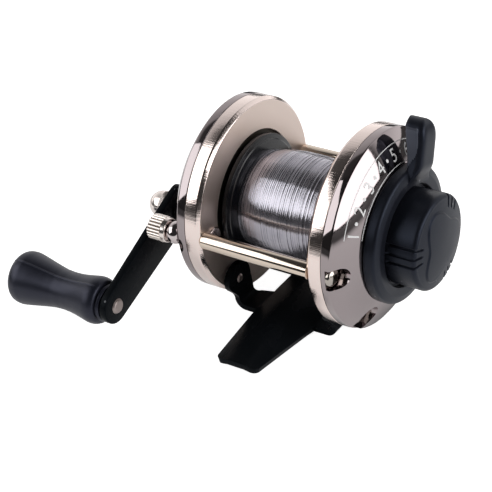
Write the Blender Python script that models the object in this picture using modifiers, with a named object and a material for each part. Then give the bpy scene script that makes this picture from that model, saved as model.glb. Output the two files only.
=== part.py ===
"""Baitcasting reel with a lever drag, modelled as an assembly.

X runs along the spool axle, towards the drag dial. Y runs along the rod, away from the angler's thumb.
Z points up. The origin is the middle of the rod seat under the foot. Lengths are in metres.
"""

from math import acos, cos, pi, radians, sin, sqrt, tan

import bmesh
import bpy

MM = 0.001

# Sides of the reel, as the sign of X
HANDLE = -1
DIAL = 1

# Main sizes
PLATE_RADIUS = 24.0 * MM
AXLE_HEIGHT = 23.3 * MM
INNER_FACE = 14.4 * MM
RIM_START = 15.9 * MM
SEAM = 18.3 * MM
FIT_GAP = 0.1 * MM
RUNNING_GAP = 0.1 * MM

# Frame rings
RING_OPENING = 16.0 * MM
RING_CHAMFER = 1.5 * MM
RING_LEDGE = 15.2 * MM
RING_RECESS = 18.6 * MM

# Covers
COVER_RIM_END = 20.3 * MM
COVER_FACE_RADIUS = 16.5 * MM
COVER_CAVITY = 17.4 * MM
COVER_WALL = 1.3 * MM
DIAL_FACE = 24.6 * MM
HANDLE_FACE = 25.2 * MM
SHOULDER_BULGE = 0.9 * MM
SHOULDER_STEPS = 5
AXLE_BOSS_RADIUS = 3.2 * MM
AXLE_BOSS_END = 20.4 * MM

# Pillars
PILLAR_RADIUS = 2.0 * MM
PILLAR_REACH = 22.0 * MM
PILLAR_HOLE_DEPTH = 6.0 * MM

# Foot
FOOT_LENGTH = 69.2 * MM
FOOT_SHEET = 1.4 * MM
FOOT_TIP_WIDTH = 10.9 * MM
FOOT_BASE_WIDTH = 16.2 * MM
FOOT_BASE_LENGTH = 26.6 * MM
FOOT_CORNER = 1.6 * MM
FOOT_ARCH_RADIUS = 20.6 * MM
ROD_SEAT_WIDTH = 4.2 * MM
EAR_BEND = 2.2 * MM
EAR_INNER_EDGE = 7.2 * MM
EAR_HALF_WIDTH = 4.5 * MM
EAR_HALF_HEIGHT = 4.0 * MM
EAR_SCREW_Y = 12.3 * MM
EAR_SCREW_Z = 7.0 * MM

# Cover screws and their pockets
SCREW_RADIUS = 1.1 * MM
SCREW_HOLE = 1.25 * MM
SCREW_HEAD_RADIUS = 2.2 * MM
SCREW_HEAD_HEIGHT = 1.4 * MM
POCKET_RADIUS = 2.6 * MM
POCKET_FLOOR = 19.5 * MM
PILLAR_SCREW_END = 9.0 * MM
EAR_SCREW_END = 12.5 * MM

# Thumb nut that holds the handle-side cover
THUMB_POCKET_RADIUS = 3.1 * MM
THUMB_POCKET_FLOOR = 20.6 * MM
COLLAR_RADIUS = 2.75 * MM
COLLAR_END = 24.0 * MM
THUMB_NUT_RADIUS = 2.85 * MM
THUMB_NUT_LENGTH = 4.9 * MM
KNURL_DEPTH = 0.25 * MM
KNURL_RIDGES = 28
THUMB_NUT_LIP = 1.1 * MM

# Axle and spool
AXLE_RADIUS = 1.5 * MM
AXLE_DIAL_END = 32.0 * MM
SPOOL_FLANGE_RADIUS = 15.4 * MM
SPOOL_FLANGE_ROOT = 11.2 * MM
SPOOL_FLANGE_RIM = 12.6 * MM
SPOOL_OUTER_FACE = 14.0 * MM
SPOOL_BARREL_RADIUS = 7.0 * MM
SPOOL_BORE = 1.9 * MM
SOCKET_RADIUS = 4.0 * MM
SOCKET_DEPTH = 5.0 * MM
BEARING_WIDTH = 2.0 * MM

# Line
LINE_CORE_RADIUS = 12.2 * MM
LINE_PATH_RADIUS = 12.85 * MM
LINE_DIAMETER = 0.72 * MM
LINE_TURNS = 17
POINTS_PER_TURN = 22
LINE_END_BEND = 0.6 * MM
LINE_END_GAP = 0.25 * MM

# Gears
GEAR_MODULE = 0.4 * MM
MAIN_TEETH = 29
PINION_TEETH = 13
PRESSURE_ANGLE = radians(20)
ADDENDUM = 0.8
DEDENDUM = 1.25
BACKLASH = 0.06 * MM
DRIVE_Y = -6.6 * MM
MAIN_GEAR_START = 17.2 * MM
MAIN_GEAR_WIDTH = 2.4 * MM
PINION_END = 20.2 * MM
GEAR_PLATE_THICKNESS = 1.2 * MM
PINION_PASSAGE = 3.4 * MM

# Crank
SHAFT_RADIUS = 2.0 * MM
BUSH_WALL = 0.7 * MM
BUSH_FLANGE = 0.5 * MM
BUSH_FLANGE_RADIUS = 3.4 * MM
COVER_BUSH_WALL = 1.0 * MM
COVER_BUSH_END = 26.0 * MM
GEAR_COLLAR_RADIUS = 3.4 * MM
CRANK_SPACER_RADIUS = 3.2 * MM
ARM_FACE = 32.9 * MM
ARM_THICKNESS = 2.0 * MM
ARM_HUB_RADIUS = 5.9 * MM
ARM_KNOB_RADIUS = 4.8 * MM
CRANK_RADIUS = 30.4 * MM
CRANK_DROP = radians(21)
NUT_ACROSS_CORNERS = 8.4 * MM
NUT_HEIGHT = 3.2 * MM
NUT_DOME_RADIUS = 3.3 * MM
NUT_LENGTH = 7.1 * MM
SHAFT_END_IN_NUT = 3.0 * MM

# Handle knob and its rivet
RIVET_RADIUS = 1.5 * MM
RIVET_HEAD_RADIUS = 1.9 * MM
RIVET_HEAD_HEIGHT = 0.7 * MM
RIVET_TAIL_RADIUS = 2.5 * MM
RIVET_TAIL_HEIGHT = 1.2 * MM
KNOB_START_GAP = 0.4 * MM
KNOB_LENGTH = 27.7 * MM
KNOB_BOSS_RADIUS = 4.2 * MM
KNOB_SHOULDER_RADIUS = 5.9 * MM
KNOB_NECK_RADIUS = 4.8 * MM
KNOB_BULGE_RADIUS = 6.8 * MM
KNOB_END_RADIUS = 3.6 * MM
KNOB_POCKET_DEPTH = 1.8 * MM

# Drag
DISC_RADIUS = 13.0 * MM
DISC_THICKNESS = 1.2 * MM
DISC_START = 14.3 * MM
PAD_GAP = 0.5 * MM
PAD_THICKNESS = 0.9 * MM
PAD_OUTER_RADIUS = 12.6 * MM
PAD_INNER_RADIUS = 6.0 * MM
PLATE_THICKNESS = 1.2 * MM
WASHER_OUTER_RADIUS = 8.0 * MM
WASHER_INNER_RADIUS = 3.0 * MM
WASHER_SHEET = 0.4 * MM
WASHER_RISE = 0.4 * MM
CAM_RADIUS = 10.5 * MM
CAM_THICKNESS = 1.4 * MM
LEVER_PLAY = 0.6 * MM
LEVER_HUB_RADIUS = 8.4 * MM
HUB_CLEARANCE = 0.2 * MM
LEVER_RING_RADIUS = 16.4 * MM
LEVER_RING_DEPTH = 3.3 * MM
LEVER_RING_BEVEL = 0.8 * MM
LEVER_RECESS_RADIUS = 12.2 * MM
LEVER_RECESS_DEPTH = 1.7 * MM
LEVER_REACH = 27.7 * MM
LEVER_TIP_RADIUS = 3.2 * MM
LEVER_ROOT_HALF_WIDTH = 4.6 * MM
LEVER_DEPTH = 5.6 * MM
LEVER_LEAN = radians(16.7)

# Preset knob
PRESET_RADIUS = 11.4 * MM
PRESET_GAP = 0.4 * MM
PRESET_DEPTH = 8.4 * MM
PRESET_ROUNDING = 1.2 * MM
PRESET_CROWN = 1.2 * MM
PRESET_NUT_RADIUS = 3.0 * MM
PRESET_NUT_LENGTH = 5.6 * MM
GROOVE_GROUPS = 3
GROOVES_IN_GROUP = 3
GROOVE_PITCH = radians(11)
GROOVE_WIDTH = 0.6 * MM
GROOVE_DEPTH = 0.45 * MM
GROOVE_FIRST_ANGLE = radians(10)

# Facet counts
LARGE_FACETS = 40
MEDIUM_FACETS = 24
SMALL_FACETS = 12


def clear_scene():
    """Remove every object that is in the scene."""
    for item in list(bpy.data.objects):
        bpy.data.objects.remove(item, do_unlink=True)


def new_collection(name):
    """Make a collection and link it to the scene."""
    group = bpy.data.collections.new(name)
    bpy.context.scene.collection.children.link(group)
    return group


def finish(name, colour, roughness, metallic):
    """Make a Principled material."""
    material = bpy.data.materials.new(name)
    material.use_nodes = True
    shader = material.node_tree.nodes["Principled BSDF"]
    shader.inputs["Base Color"].default_value = (*colour, 1.0)
    shader.inputs["Roughness"].default_value = roughness
    shader.inputs["Metallic"].default_value = metallic
    return material


clear_scene()
PARTS = new_collection("baitcasting_reel")
CUTTERS = new_collection("cutters")

CHAMPAGNE = finish("champagne_nickel", (0.80, 0.70, 0.62), 0.18, 1.0)
DARK_NICKEL = finish("dark_nickel", (0.36, 0.32, 0.33), 0.15, 1.0)
STEEL = finish("bright_steel", (0.75, 0.75, 0.76), 0.2, 1.0)
BRASS = finish("brass", (0.72, 0.53, 0.25), 0.3, 1.0)
BLACK_PAINT = finish("black_paint", (0.012, 0.013, 0.016), 0.25, 0.0)
BLACK_PLASTIC = finish("black_plastic", (0.02, 0.022, 0.028), 0.4, 0.0)
FIBRE = finish("drag_fibre", (0.12, 0.09, 0.06), 0.8, 0.0)
CLEAR_LINE = finish("clear_line", (0.42, 0.43, 0.45), 0.2, 0.0)


# Axes of the moving groups, as empties
def axis_empty(name, y, z):
    """Place an empty on an axis parallel to X, at a place measured from the spool axle."""
    empty = bpy.data.objects.new(name, None)
    empty.location = (0.0, y, AXLE_HEIGHT + z)
    PARTS.objects.link(empty)
    return empty


def drive_drop():
    """Height of the drive axis below the axle, from the gears' centre distance."""
    distance = GEAR_MODULE * (MAIN_TEETH + PINION_TEETH) / 2 + RUNNING_GAP / 2
    return sqrt(distance**2 - DRIVE_Y**2)


DRIVE_Z = -drive_drop()
KNOB_Y = DRIVE_Y - CRANK_RADIUS * cos(CRANK_DROP)
KNOB_Z = DRIVE_Z - CRANK_RADIUS * sin(CRANK_DROP)

AXLE = axis_empty("axle_axis", 0.0, 0.0)
DRIVE = axis_empty("drive_axis", DRIVE_Y, DRIVE_Z)
KNOB = axis_empty("knob_axis", KNOB_Y, KNOB_Z)
FRONT = axis_empty("front_pillar_axis", -PILLAR_REACH, 0.0)
REAR = axis_empty("rear_pillar_axis", PILLAR_REACH, 0.0)
FRONT_EAR = axis_empty("front_ear_axis", -EAR_SCREW_Y, EAR_SCREW_Z - AXLE_HEIGHT)
REAR_EAR = axis_empty("rear_ear_axis", EAR_SCREW_Y, EAR_SCREW_Z - AXLE_HEIGHT)


def lay_along_x(item, empty):
    """Parent an object to an axis empty and turn its own Z to +X."""
    item.parent = empty
    item.rotation_euler = (0.0, pi / 2, 0.0)


def dress(item, material):
    """Give the object its material, round shading and place among the parts."""
    item.data.materials.append(material)
    PARTS.objects.link(item)


def as_cutter(item):
    """Keep an object as a hidden tool for a Boolean."""
    CUTTERS.objects.link(item)
    item.hide_render = True
    item.display_type = "WIRE"


def turned_object(name, profile, empty, facets):
    """Turn a profile of (place along X, radius) points round an axis."""
    points = list(profile)
    area = 0.0
    for (z0, r0), (z1, r1) in zip(points, points[1:] + points[:1]):
        area += r0 * z1 - r1 * z0
    if area > 0:
        points.reverse()
    mesh = bpy.data.meshes.new(name)
    work = bmesh.new()
    verts = [work.verts.new((radius, 0.0, place)) for place, radius in points]
    for first, second in zip(verts, verts[1:] + verts[:1]):
        on_axis = first.co.x == 0.0 and second.co.x == 0.0
        if not on_axis:
            work.edges.new((first, second))
    work.to_mesh(mesh)
    work.free()
    item = bpy.data.objects.new(name, mesh)
    screw = item.modifiers.new("turn", "SCREW")
    screw.axis = "Z"
    screw.angle = 2 * pi
    screw.steps = facets
    screw.render_steps = facets
    screw.use_merge_vertices = True
    screw.merge_threshold = 0.00001
    screw.use_smooth_shade = True
    lay_along_x(item, empty)
    return item


def turned(name, profile, empty, material, facets=SMALL_FACETS):
    """Make a turned part."""
    item = turned_object(name, profile, empty, facets)
    dress(item, material)
    return item


def tube_profile(start, end, outer, bore):
    """Profile of a plain ring or tube."""
    return [(start, bore), (start, outer), (end, outer), (end, bore)]


def flat_curve(name, outlines, start, end, empty):
    """Extrude closed outlines of (y, z) points between two places along X. Inner outlines are holes."""
    data = bpy.data.curves.new(name, "CURVE")
    data.dimensions = "2D"
    data.fill_mode = "BOTH"
    data.extrude = abs(end - start) / 2
    for outline in outlines:
        spline = data.splines.new("POLY")
        spline.points.add(len(outline) - 1)
        for point, (y, z) in zip(spline.points, outline):
            point.co = (-z, y, 0.0, 1.0)
        spline.use_cyclic_u = True
    item = bpy.data.objects.new(name, data)
    lay_along_x(item, empty)
    item.location = ((start + end) / 2, 0.0, 0.0)
    return item


def meshed(curve_item):
    """Turn a curve object into a closed mesh object in the same place."""
    CUTTERS.objects.link(curve_item)
    bpy.context.view_layer.update()
    depsgraph = bpy.context.evaluated_depsgraph_get()
    mesh = bpy.data.meshes.new_from_object(curve_item.evaluated_get(depsgraph))
    work = bmesh.new()
    work.from_mesh(mesh)
    bmesh.ops.remove_doubles(work, verts=work.verts, dist=0.000001)
    bmesh.ops.recalc_face_normals(work, faces=work.faces)
    work.to_mesh(mesh)
    work.free()
    name = curve_item.name
    item = bpy.data.objects.new(name, mesh)
    item.parent = curve_item.parent
    item.rotation_euler = curve_item.rotation_euler
    item.location = curve_item.location
    bpy.data.objects.remove(curve_item, do_unlink=True)
    item.name = name
    return item


def combine(item, other, operation):
    """Add a Boolean with another object, which becomes a hidden tool."""
    as_cutter(other)
    step = item.modifiers.new(operation.lower(), "BOOLEAN")
    step.operation = operation
    step.solver = "EXACT"
    step.object = other


def drill(item, empty, start, end, radius):
    """Cut a round hole between two places along X."""
    profile = [(start, 0.0), (start, radius), (end, radius), (end, 0.0)]
    cutter = turned_object("drill", profile, empty, SMALL_FACETS)
    combine(item, cutter, "DIFFERENCE")


def circle(radius, count, y=0.0, z=0.0):
    """Points of a circle in the Y-Z plane."""
    angles = [2 * pi * step / count for step in range(count)]
    return [(y + radius * cos(angle), z + radius * sin(angle)) for angle in angles]


# Frame
def frame_ring(name, side):
    """Ring with a chamfered inner face, a recess at the back and holes for the screws."""
    profile = [
        (side * INNER_FACE, RING_OPENING),
        (side * INNER_FACE, PLATE_RADIUS - RING_CHAMFER),
        (side * RIM_START, PLATE_RADIUS),
        (side * SEAM, PLATE_RADIUS),
        (side * SEAM, RING_RECESS),
        (side * RING_LEDGE, RING_RECESS),
        (side * RING_LEDGE, RING_OPENING),
    ]
    ring = turned(name, profile, AXLE, CHAMPAGNE, LARGE_FACETS)
    for empty in (FRONT, REAR, FRONT_EAR, REAR_EAR):
        drill(ring, empty, side * (INNER_FACE - MM), side * (SEAM + MM), SCREW_HOLE)
    return ring


def pillar(name, empty):
    """Round bar between the rings, with a screw hole in each end."""
    end = INNER_FACE - FIT_GAP
    deep = end - PILLAR_HOLE_DEPTH
    profile = [
        (-deep, 0.0),
        (-deep, SCREW_HOLE),
        (-end, SCREW_HOLE),
        (-end, PILLAR_RADIUS),
        (end, PILLAR_RADIUS),
        (end, SCREW_HOLE),
        (deep, SCREW_HOLE),
        (deep, 0.0),
    ]
    return turned(name, profile, empty, CHAMPAGNE, SMALL_FACETS)


def shoulder(side, face):
    """Shoulder from the rim of a cover to its face: a straight chord lifted by a parabola."""
    run = face - COVER_RIM_END
    fall = PLATE_RADIUS - COVER_FACE_RADIUS
    chord = sqrt(run**2 + fall**2)
    points = []
    for step in range(SHOULDER_STEPS + 1):
        share = step / SHOULDER_STEPS
        lift = 4 * SHOULDER_BULGE * share * (1 - share)
        place = COVER_RIM_END + run * share + lift * fall / chord
        radius = PLATE_RADIUS - fall * share + lift * run / chord
        points.append((side * place, radius))
    return points


def cover_outside(side, face):
    """Outer half of a cover's profile, from its cavity over the rim to its face."""
    seam = SEAM + FIT_GAP
    inner = face - COVER_WALL
    cavity = [
        (side * inner, COVER_CAVITY - MM),
        (side * (inner - MM), COVER_CAVITY),
        (side * seam, COVER_CAVITY),
        (side * seam, PLATE_RADIUS),
    ]
    return cavity + shoulder(side, face)


def pocket(cover, side, empty, radius, floor):
    """Cut a round-bottomed notch for a screw head, open to the rim and to the front."""
    depth = PLATE_RADIUS
    centre = empty.location
    offset_y = centre.y
    offset_z = centre.z - AXLE_HEIGHT
    reach = sqrt(offset_y**2 + offset_z**2)
    out_y = offset_y / reach
    out_z = offset_z / reach
    outline = []
    half_turn = SMALL_FACETS // 2
    for step in range(half_turn + 1):
        angle = pi * step / half_turn
        along = -sin(angle) * radius
        across = cos(angle) * radius
        outline.append((out_y * along - out_z * across, out_z * along + out_y * across))
    for across in (-radius, radius):
        outline.append((out_y * depth - out_z * across, out_z * depth + out_y * across))
    start = min(side * floor, side * (floor + depth))
    cutter = flat_curve("pocket", [outline], start, start + depth, empty)
    combine(cover, meshed(cutter), "DIFFERENCE")


def screw_seat(cover, side, empty):
    """Pocket and screw hole in a cover."""
    pocket(cover, side, empty, POCKET_RADIUS, POCKET_FLOOR)
    drill(cover, empty, side * (SEAM - MM), side * (POCKET_FLOOR + MM), SCREW_HOLE)


def handle_cover():
    """Dished cover over the gears, with a boss for the axle and a hole for the drive bush."""
    inner = HANDLE_FACE - COVER_WALL
    profile = [
        (HANDLE * inner, 0.0),
        (HANDLE * inner, AXLE_RADIUS + RUNNING_GAP),
        (HANDLE * AXLE_BOSS_END, AXLE_RADIUS + RUNNING_GAP),
        (HANDLE * AXLE_BOSS_END, AXLE_BOSS_RADIUS),
        (HANDLE * inner, AXLE_BOSS_RADIUS),
    ]
    profile += cover_outside(HANDLE, HANDLE_FACE)
    profile.append((HANDLE * HANDLE_FACE, 0.0))
    cover = turned("handle_side_cover", profile, AXLE, DARK_NICKEL, LARGE_FACETS)
    for empty in (REAR, FRONT_EAR, REAR_EAR):
        screw_seat(cover, HANDLE, empty)
    pocket(cover, HANDLE, FRONT, THUMB_POCKET_RADIUS, THUMB_POCKET_FLOOR)
    drill(cover, FRONT, HANDLE * (THUMB_POCKET_FLOOR + MM), HANDLE * (SEAM - MM), SCREW_HOLE)
    hole = SHAFT_RADIUS + RUNNING_GAP + COVER_BUSH_WALL + FIT_GAP
    drill(cover, DRIVE, HANDLE * (HANDLE_FACE + MM), HANDLE * (inner - MM), hole)


def dial_cover():
    """Dished cover over the drag, with a round hole for the lever's hub."""
    hole = LEVER_HUB_RADIUS + HUB_CLEARANCE
    profile = [(DIAL * (DIAL_FACE - COVER_WALL), hole)]
    profile += cover_outside(DIAL, DIAL_FACE)
    profile.append((DIAL * DIAL_FACE, hole))
    cover = turned("dial_side_cover", profile, AXLE, DARK_NICKEL, LARGE_FACETS)
    for empty in (FRONT, REAR, FRONT_EAR, REAR_EAR):
        screw_seat(cover, DIAL, empty)


def cover_screw(name, side, empty, end):
    """Screw with a slotted round head in its pocket."""
    under_head = POCKET_FLOOR + FIT_GAP
    top = under_head + SCREW_HEAD_HEIGHT
    rounded = SCREW_HEAD_RADIUS * 0.75
    profile = [
        (side * end, 0.0),
        (side * end, SCREW_RADIUS),
        (side * under_head, SCREW_RADIUS),
        (side * under_head, SCREW_HEAD_RADIUS),
        (side * (top - SCREW_HEAD_HEIGHT / 2), SCREW_HEAD_RADIUS),
        (side * top, rounded),
        (side * top, 0.0),
    ]
    turned(name, profile, empty, STEEL)


def foot_half_width(y):
    """Half width of the foot's plan at a place along the rod: base, taper and rounded tip."""
    half_length = FOOT_LENGTH / 2
    half_base = FOOT_BASE_LENGTH / 2
    place = abs(y)
    if place <= half_base:
        return FOOT_BASE_WIDTH / 2
    share = (place - half_base) / (half_length - half_base)
    width = FOOT_BASE_WIDTH / 2 + (FOOT_TIP_WIDTH - FOOT_BASE_WIDTH) / 2 * share
    into_corner = place - (half_length - FOOT_CORNER)
    if into_corner > 0:
        width -= FOOT_CORNER - sqrt(max(FOOT_CORNER**2 - into_corner**2, 0.0))
    return width


def foot_height(x):
    """Height of the sheet's middle: flat along the rod seat, then arched down to the edges."""
    flat = ROD_SEAT_WIDTH / 2
    return FOOT_SHEET / 2 - max(0.0, x**2 - flat**2) / (2 * FOOT_ARCH_RADIUS)


def foot_stations():
    """Places along the rod where the plan is drawn, for one half of the foot."""
    half_length = FOOT_LENGTH / 2
    half_base = FOOT_BASE_LENGTH / 2
    corner = [half_length - FOOT_CORNER * (1 - sin(pi / 2 * step / 3)) for step in range(4)]
    taper_end = half_length - FOOT_CORNER
    taper = [half_base + (taper_end - half_base) * step / 3 for step in (1, 2)]
    ear = [EAR_INNER_EDGE + (half_base - EAR_INNER_EDGE) * step / 4 for step in range(5)]
    return ear + taper + corner


def ear_rows():
    """Rows of an ear from the base up: place across, height, middle along the rod and half width."""
    edge = FOOT_BASE_WIDTH / 2
    low = foot_height(edge)
    upright = INNER_FACE - FIT_GAP - FOOT_SHEET / 2
    middle = (EAR_INNER_EDGE + FOOT_BASE_LENGTH / 2) / 2
    neck = (FOOT_BASE_LENGTH / 2 - EAR_INNER_EDGE) / 2
    rows = []
    for step in range(5):
        angle = pi / 2 * step / 4
        across = upright - EAR_BEND + EAR_BEND * sin(angle)
        rows.append((across, low + EAR_BEND * (1 - cos(angle)), middle, neck))
    start = low + EAR_BEND
    for step in (1, 2):
        share = step / 2
        height = start + (EAR_SCREW_Z - start) * share
        centre = middle + (EAR_SCREW_Y - middle) * share
        rows.append((upright, height, centre, neck + (EAR_HALF_WIDTH - neck) * share))
    for step in range(1, 5):
        angle = radians(72) * step / 4
        height = EAR_SCREW_Z + EAR_HALF_HEIGHT * sin(angle)
        rows.append((upright, height, EAR_SCREW_Y, EAR_HALF_WIDTH * cos(angle)))
    return rows


def reel_foot():
    """Stamped foot: two blades, an arched base and four ears bent up against the rings."""
    half = foot_stations()
    stations = [-y for y in reversed(half)] + [0.0] + half
    seat = ROD_SEAT_WIDTH / 2
    work = bmesh.new()
    columns = {}
    for y in stations:
        width = foot_half_width(y)
        row = []
        for x in (-width, -(width + seat) / 2, -seat, seat, (width + seat) / 2, width):
            row.append(work.verts.new((x, y, foot_height(x))))
        columns[y] = row
    for y0, y1 in zip(stations, stations[1:]):
        for index in range(len(columns[y0]) - 1):
            corners = (columns[y0][index], columns[y0][index + 1], columns[y1][index + 1], columns[y1][index])
            work.faces.new(corners)
    ear_places = half[:5]
    for along in (-1, 1):
        places = [along * y for y in ear_places]
        for across, edge_index in ((-1, 0), (1, 5)):
            below = [columns[y][edge_index] for y in places]
            for x, z, middle, half_width in ear_rows():
                row = []
                for step in range(5):
                    y = along * (middle + half_width * (step / 2 - 1))
                    row.append(work.verts.new((across * x, y, z)))
                for index in range(4):
                    work.faces.new((below[index], below[index + 1], row[index + 1], row[index]))
                below = row
    bmesh.ops.recalc_face_normals(work, faces=work.faces)
    mesh = bpy.data.meshes.new("reel_foot")
    work.to_mesh(mesh)
    work.free()
    foot = bpy.data.objects.new("reel_foot", mesh)
    sheet = foot.modifiers.new("sheet", "SOLIDIFY")
    sheet.thickness = FOOT_SHEET
    sheet.offset = 0.0
    sheet.use_even_offset = True
    sheet.use_quality_normals = True
    dress(foot, BLACK_PAINT)
    for empty in (FRONT_EAR, REAR_EAR):
        for side in (HANDLE, DIAL):
            drill(foot, empty, side * (EAR_SCREW_END - MM), side * INNER_FACE, SCREW_HOLE)


# Thumb nut
def thumb_pieces():
    """Stud, ball collar and knurled nut in line with the front pillar."""
    nut_start = COLLAR_END + FIT_GAP
    nut_end = nut_start + THUMB_NUT_LENGTH
    stud_end = nut_end - 0.5 * MM
    stud = [
        (HANDLE * PILLAR_SCREW_END, 0.0),
        (HANDLE * PILLAR_SCREW_END, SCREW_RADIUS),
        (HANDLE * stud_end, SCREW_RADIUS),
        (HANDLE * stud_end, 0.0),
    ]
    turned("thumb_stud", stud, FRONT, STEEL)
    start = THUMB_POCKET_FLOOR + FIT_GAP
    middle = (start + COLLAR_END) / 2
    half = (COLLAR_END - start) / 2
    ball = [(HANDLE * start, SCREW_HOLE)]
    for step in range(7):
        angle = pi * step / 6
        ball.append((HANDLE * (middle - half * cos(angle)), COLLAR_RADIUS * (0.72 + 0.28 * sin(angle))))
    ball.append((HANDLE * COLLAR_END, SCREW_HOLE))
    turned("thumb_collar", ball, FRONT, DARK_NICKEL)
    outline = []
    for ridge in range(KNURL_RIDGES):
        for share, radius in ((0.0, THUMB_NUT_RADIUS), (0.5, THUMB_NUT_RADIUS - KNURL_DEPTH)):
            angle = 2 * pi * (ridge + share) / KNURL_RIDGES
            outline.append((radius * cos(angle), radius * sin(angle)))
    hole = circle(SCREW_HOLE, SMALL_FACETS)
    knurl_start = nut_start + THUMB_NUT_LIP
    nut = flat_curve("thumb_nut", [outline, hole], HANDLE * nut_end, HANDLE * knurl_start, FRONT)
    knurled = meshed(nut)
    dress(knurled, CHAMPAGNE)
    lip = tube_profile(HANDLE * (knurl_start + FIT_GAP), HANDLE * nut_start, THUMB_NUT_RADIUS, SCREW_HOLE)
    combine(knurled, turned_object("nut_lip", lip, FRONT, MEDIUM_FACETS), "UNION")


# Gears
def involute(angle):
    """Involute function of a pressure angle."""
    return tan(angle) - angle


def gear_outline(teeth, first_tooth):
    """Outline of a spur gear with involute flanks. first_tooth is the angle of a tooth's middle."""
    pitch = GEAR_MODULE * teeth / 2
    base = pitch * cos(PRESSURE_ANGLE)
    tip = pitch + ADDENDUM * GEAR_MODULE
    root = pitch - DEDENDUM * GEAR_MODULE
    half_at_pitch = (pi * GEAR_MODULE / 2 - BACKLASH) / (2 * pitch)

    def half_angle(radius):
        at_radius = acos(min(1.0, base / max(radius, base)))
        return half_at_pitch + involute(PRESSURE_ANGLE) - involute(at_radius)

    radii = (root, pitch, tip)
    points = []
    for tooth in range(teeth):
        middle = first_tooth + 2 * pi * tooth / teeth
        flank = [(radius, middle - half_angle(radius)) for radius in radii]
        flank += [(radius, middle + half_angle(radius)) for radius in reversed(radii)]
        points += [(radius * cos(angle), radius * sin(angle)) for radius, angle in flank]
    return points


def direction_to_drive():
    """Angle of the drive axis seen from the axle, from +Y towards +Z."""
    return pi + acos(-DRIVE_Y / sqrt(DRIVE_Y**2 + DRIVE_Z**2))


def gear_train():
    """Main gear on the drive shaft, and the pinion with its shank in the spool's socket."""
    main_end = MAIN_GEAR_START + MAIN_GEAR_WIDTH
    towards_pinion = direction_to_drive() + pi
    bore = circle(SHAFT_RADIUS + RUNNING_GAP, SMALL_FACETS)
    outline = gear_outline(MAIN_TEETH, towards_pinion)
    main = flat_curve("main_gear", [outline, bore], -main_end, -MAIN_GEAR_START, DRIVE)
    dress(meshed(main), BRASS)
    gap_towards_drive = direction_to_drive() + pi / PINION_TEETH
    bore = circle(AXLE_RADIUS + RUNNING_GAP, SMALL_FACETS)
    outline = gear_outline(PINION_TEETH, gap_towards_drive)
    shank_end = SPOOL_OUTER_FACE - BEARING_WIDTH
    teeth = flat_curve("spool_pinion", [outline, bore], -PINION_END, -SPOOL_OUTER_FACE, AXLE)
    pinion = meshed(teeth)
    dress(pinion, BRASS)
    shank = tube_profile(
        -(SPOOL_OUTER_FACE + FIT_GAP), -shank_end, SOCKET_RADIUS - FIT_GAP, AXLE_RADIUS + RUNNING_GAP
    )
    combine(pinion, turned_object("pinion_shank", shank, AXLE, SMALL_FACETS), "UNION")


def gear_plate():
    """Plate in the handle-side ring that carries the drive bush and lets the pinion through."""
    start = RING_LEDGE + FIT_GAP
    end = start + GEAR_PLATE_THICKNESS
    bush_radius = SHAFT_RADIUS + RUNNING_GAP + BUSH_WALL
    profile = tube_profile(-end, -start, RING_RECESS - 2 * FIT_GAP, PINION_PASSAGE)
    plate = turned("gear_plate", profile, AXLE, BRASS, MEDIUM_FACETS)
    drill(plate, DRIVE, -(end + MM), -(start - MM), bush_radius + FIT_GAP)
    bore = SHAFT_RADIUS + RUNNING_GAP
    flange = end + FIT_GAP
    bush = [
        (-start, bore),
        (-start, bush_radius),
        (-flange, bush_radius),
        (-flange, BUSH_FLANGE_RADIUS),
        (-(flange + BUSH_FLANGE), BUSH_FLANGE_RADIUS),
        (-(flange + BUSH_FLANGE), bore),
    ]
    turned("gear_bush", bush, DRIVE, BRASS)
    inner = HANDLE_FACE - COVER_WALL - FIT_GAP
    outer = bore + COVER_BUSH_WALL
    cover_bush = [
        (-(inner - 2 * BUSH_FLANGE), bore),
        (-(inner - 2 * BUSH_FLANGE), outer + BUSH_FLANGE),
        (-inner, outer + BUSH_FLANGE),
        (-inner, outer),
        (-COVER_BUSH_END, outer),
        (-COVER_BUSH_END, bore),
    ]
    turned("cover_bush", cover_bush, DRIVE, BRASS)


# Crank
def arm_outline():
    """Two rounded ends of unlike radius joined by straight tapered sides, as (y, z) points."""
    along_y = -cos(CRANK_DROP)
    along_z = -sin(CRANK_DROP)
    lean = acos((ARM_HUB_RADIUS - ARM_KNOB_RADIUS) / CRANK_RADIUS)
    points = []
    arcs = (
        (0.0, ARM_HUB_RADIUS, lean, 2 * pi - lean),
        (CRANK_RADIUS, ARM_KNOB_RADIUS, -lean, lean),
    )
    for offset, radius, first, last in arcs:
        for step in range(SMALL_FACETS + 1):
            angle = first + (last - first) * step / SMALL_FACETS
            along = offset + radius * cos(angle)
            across = radius * sin(angle)
            points.append((along_y * along - along_z * across, along_z * along + along_y * across))
    return points


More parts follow.
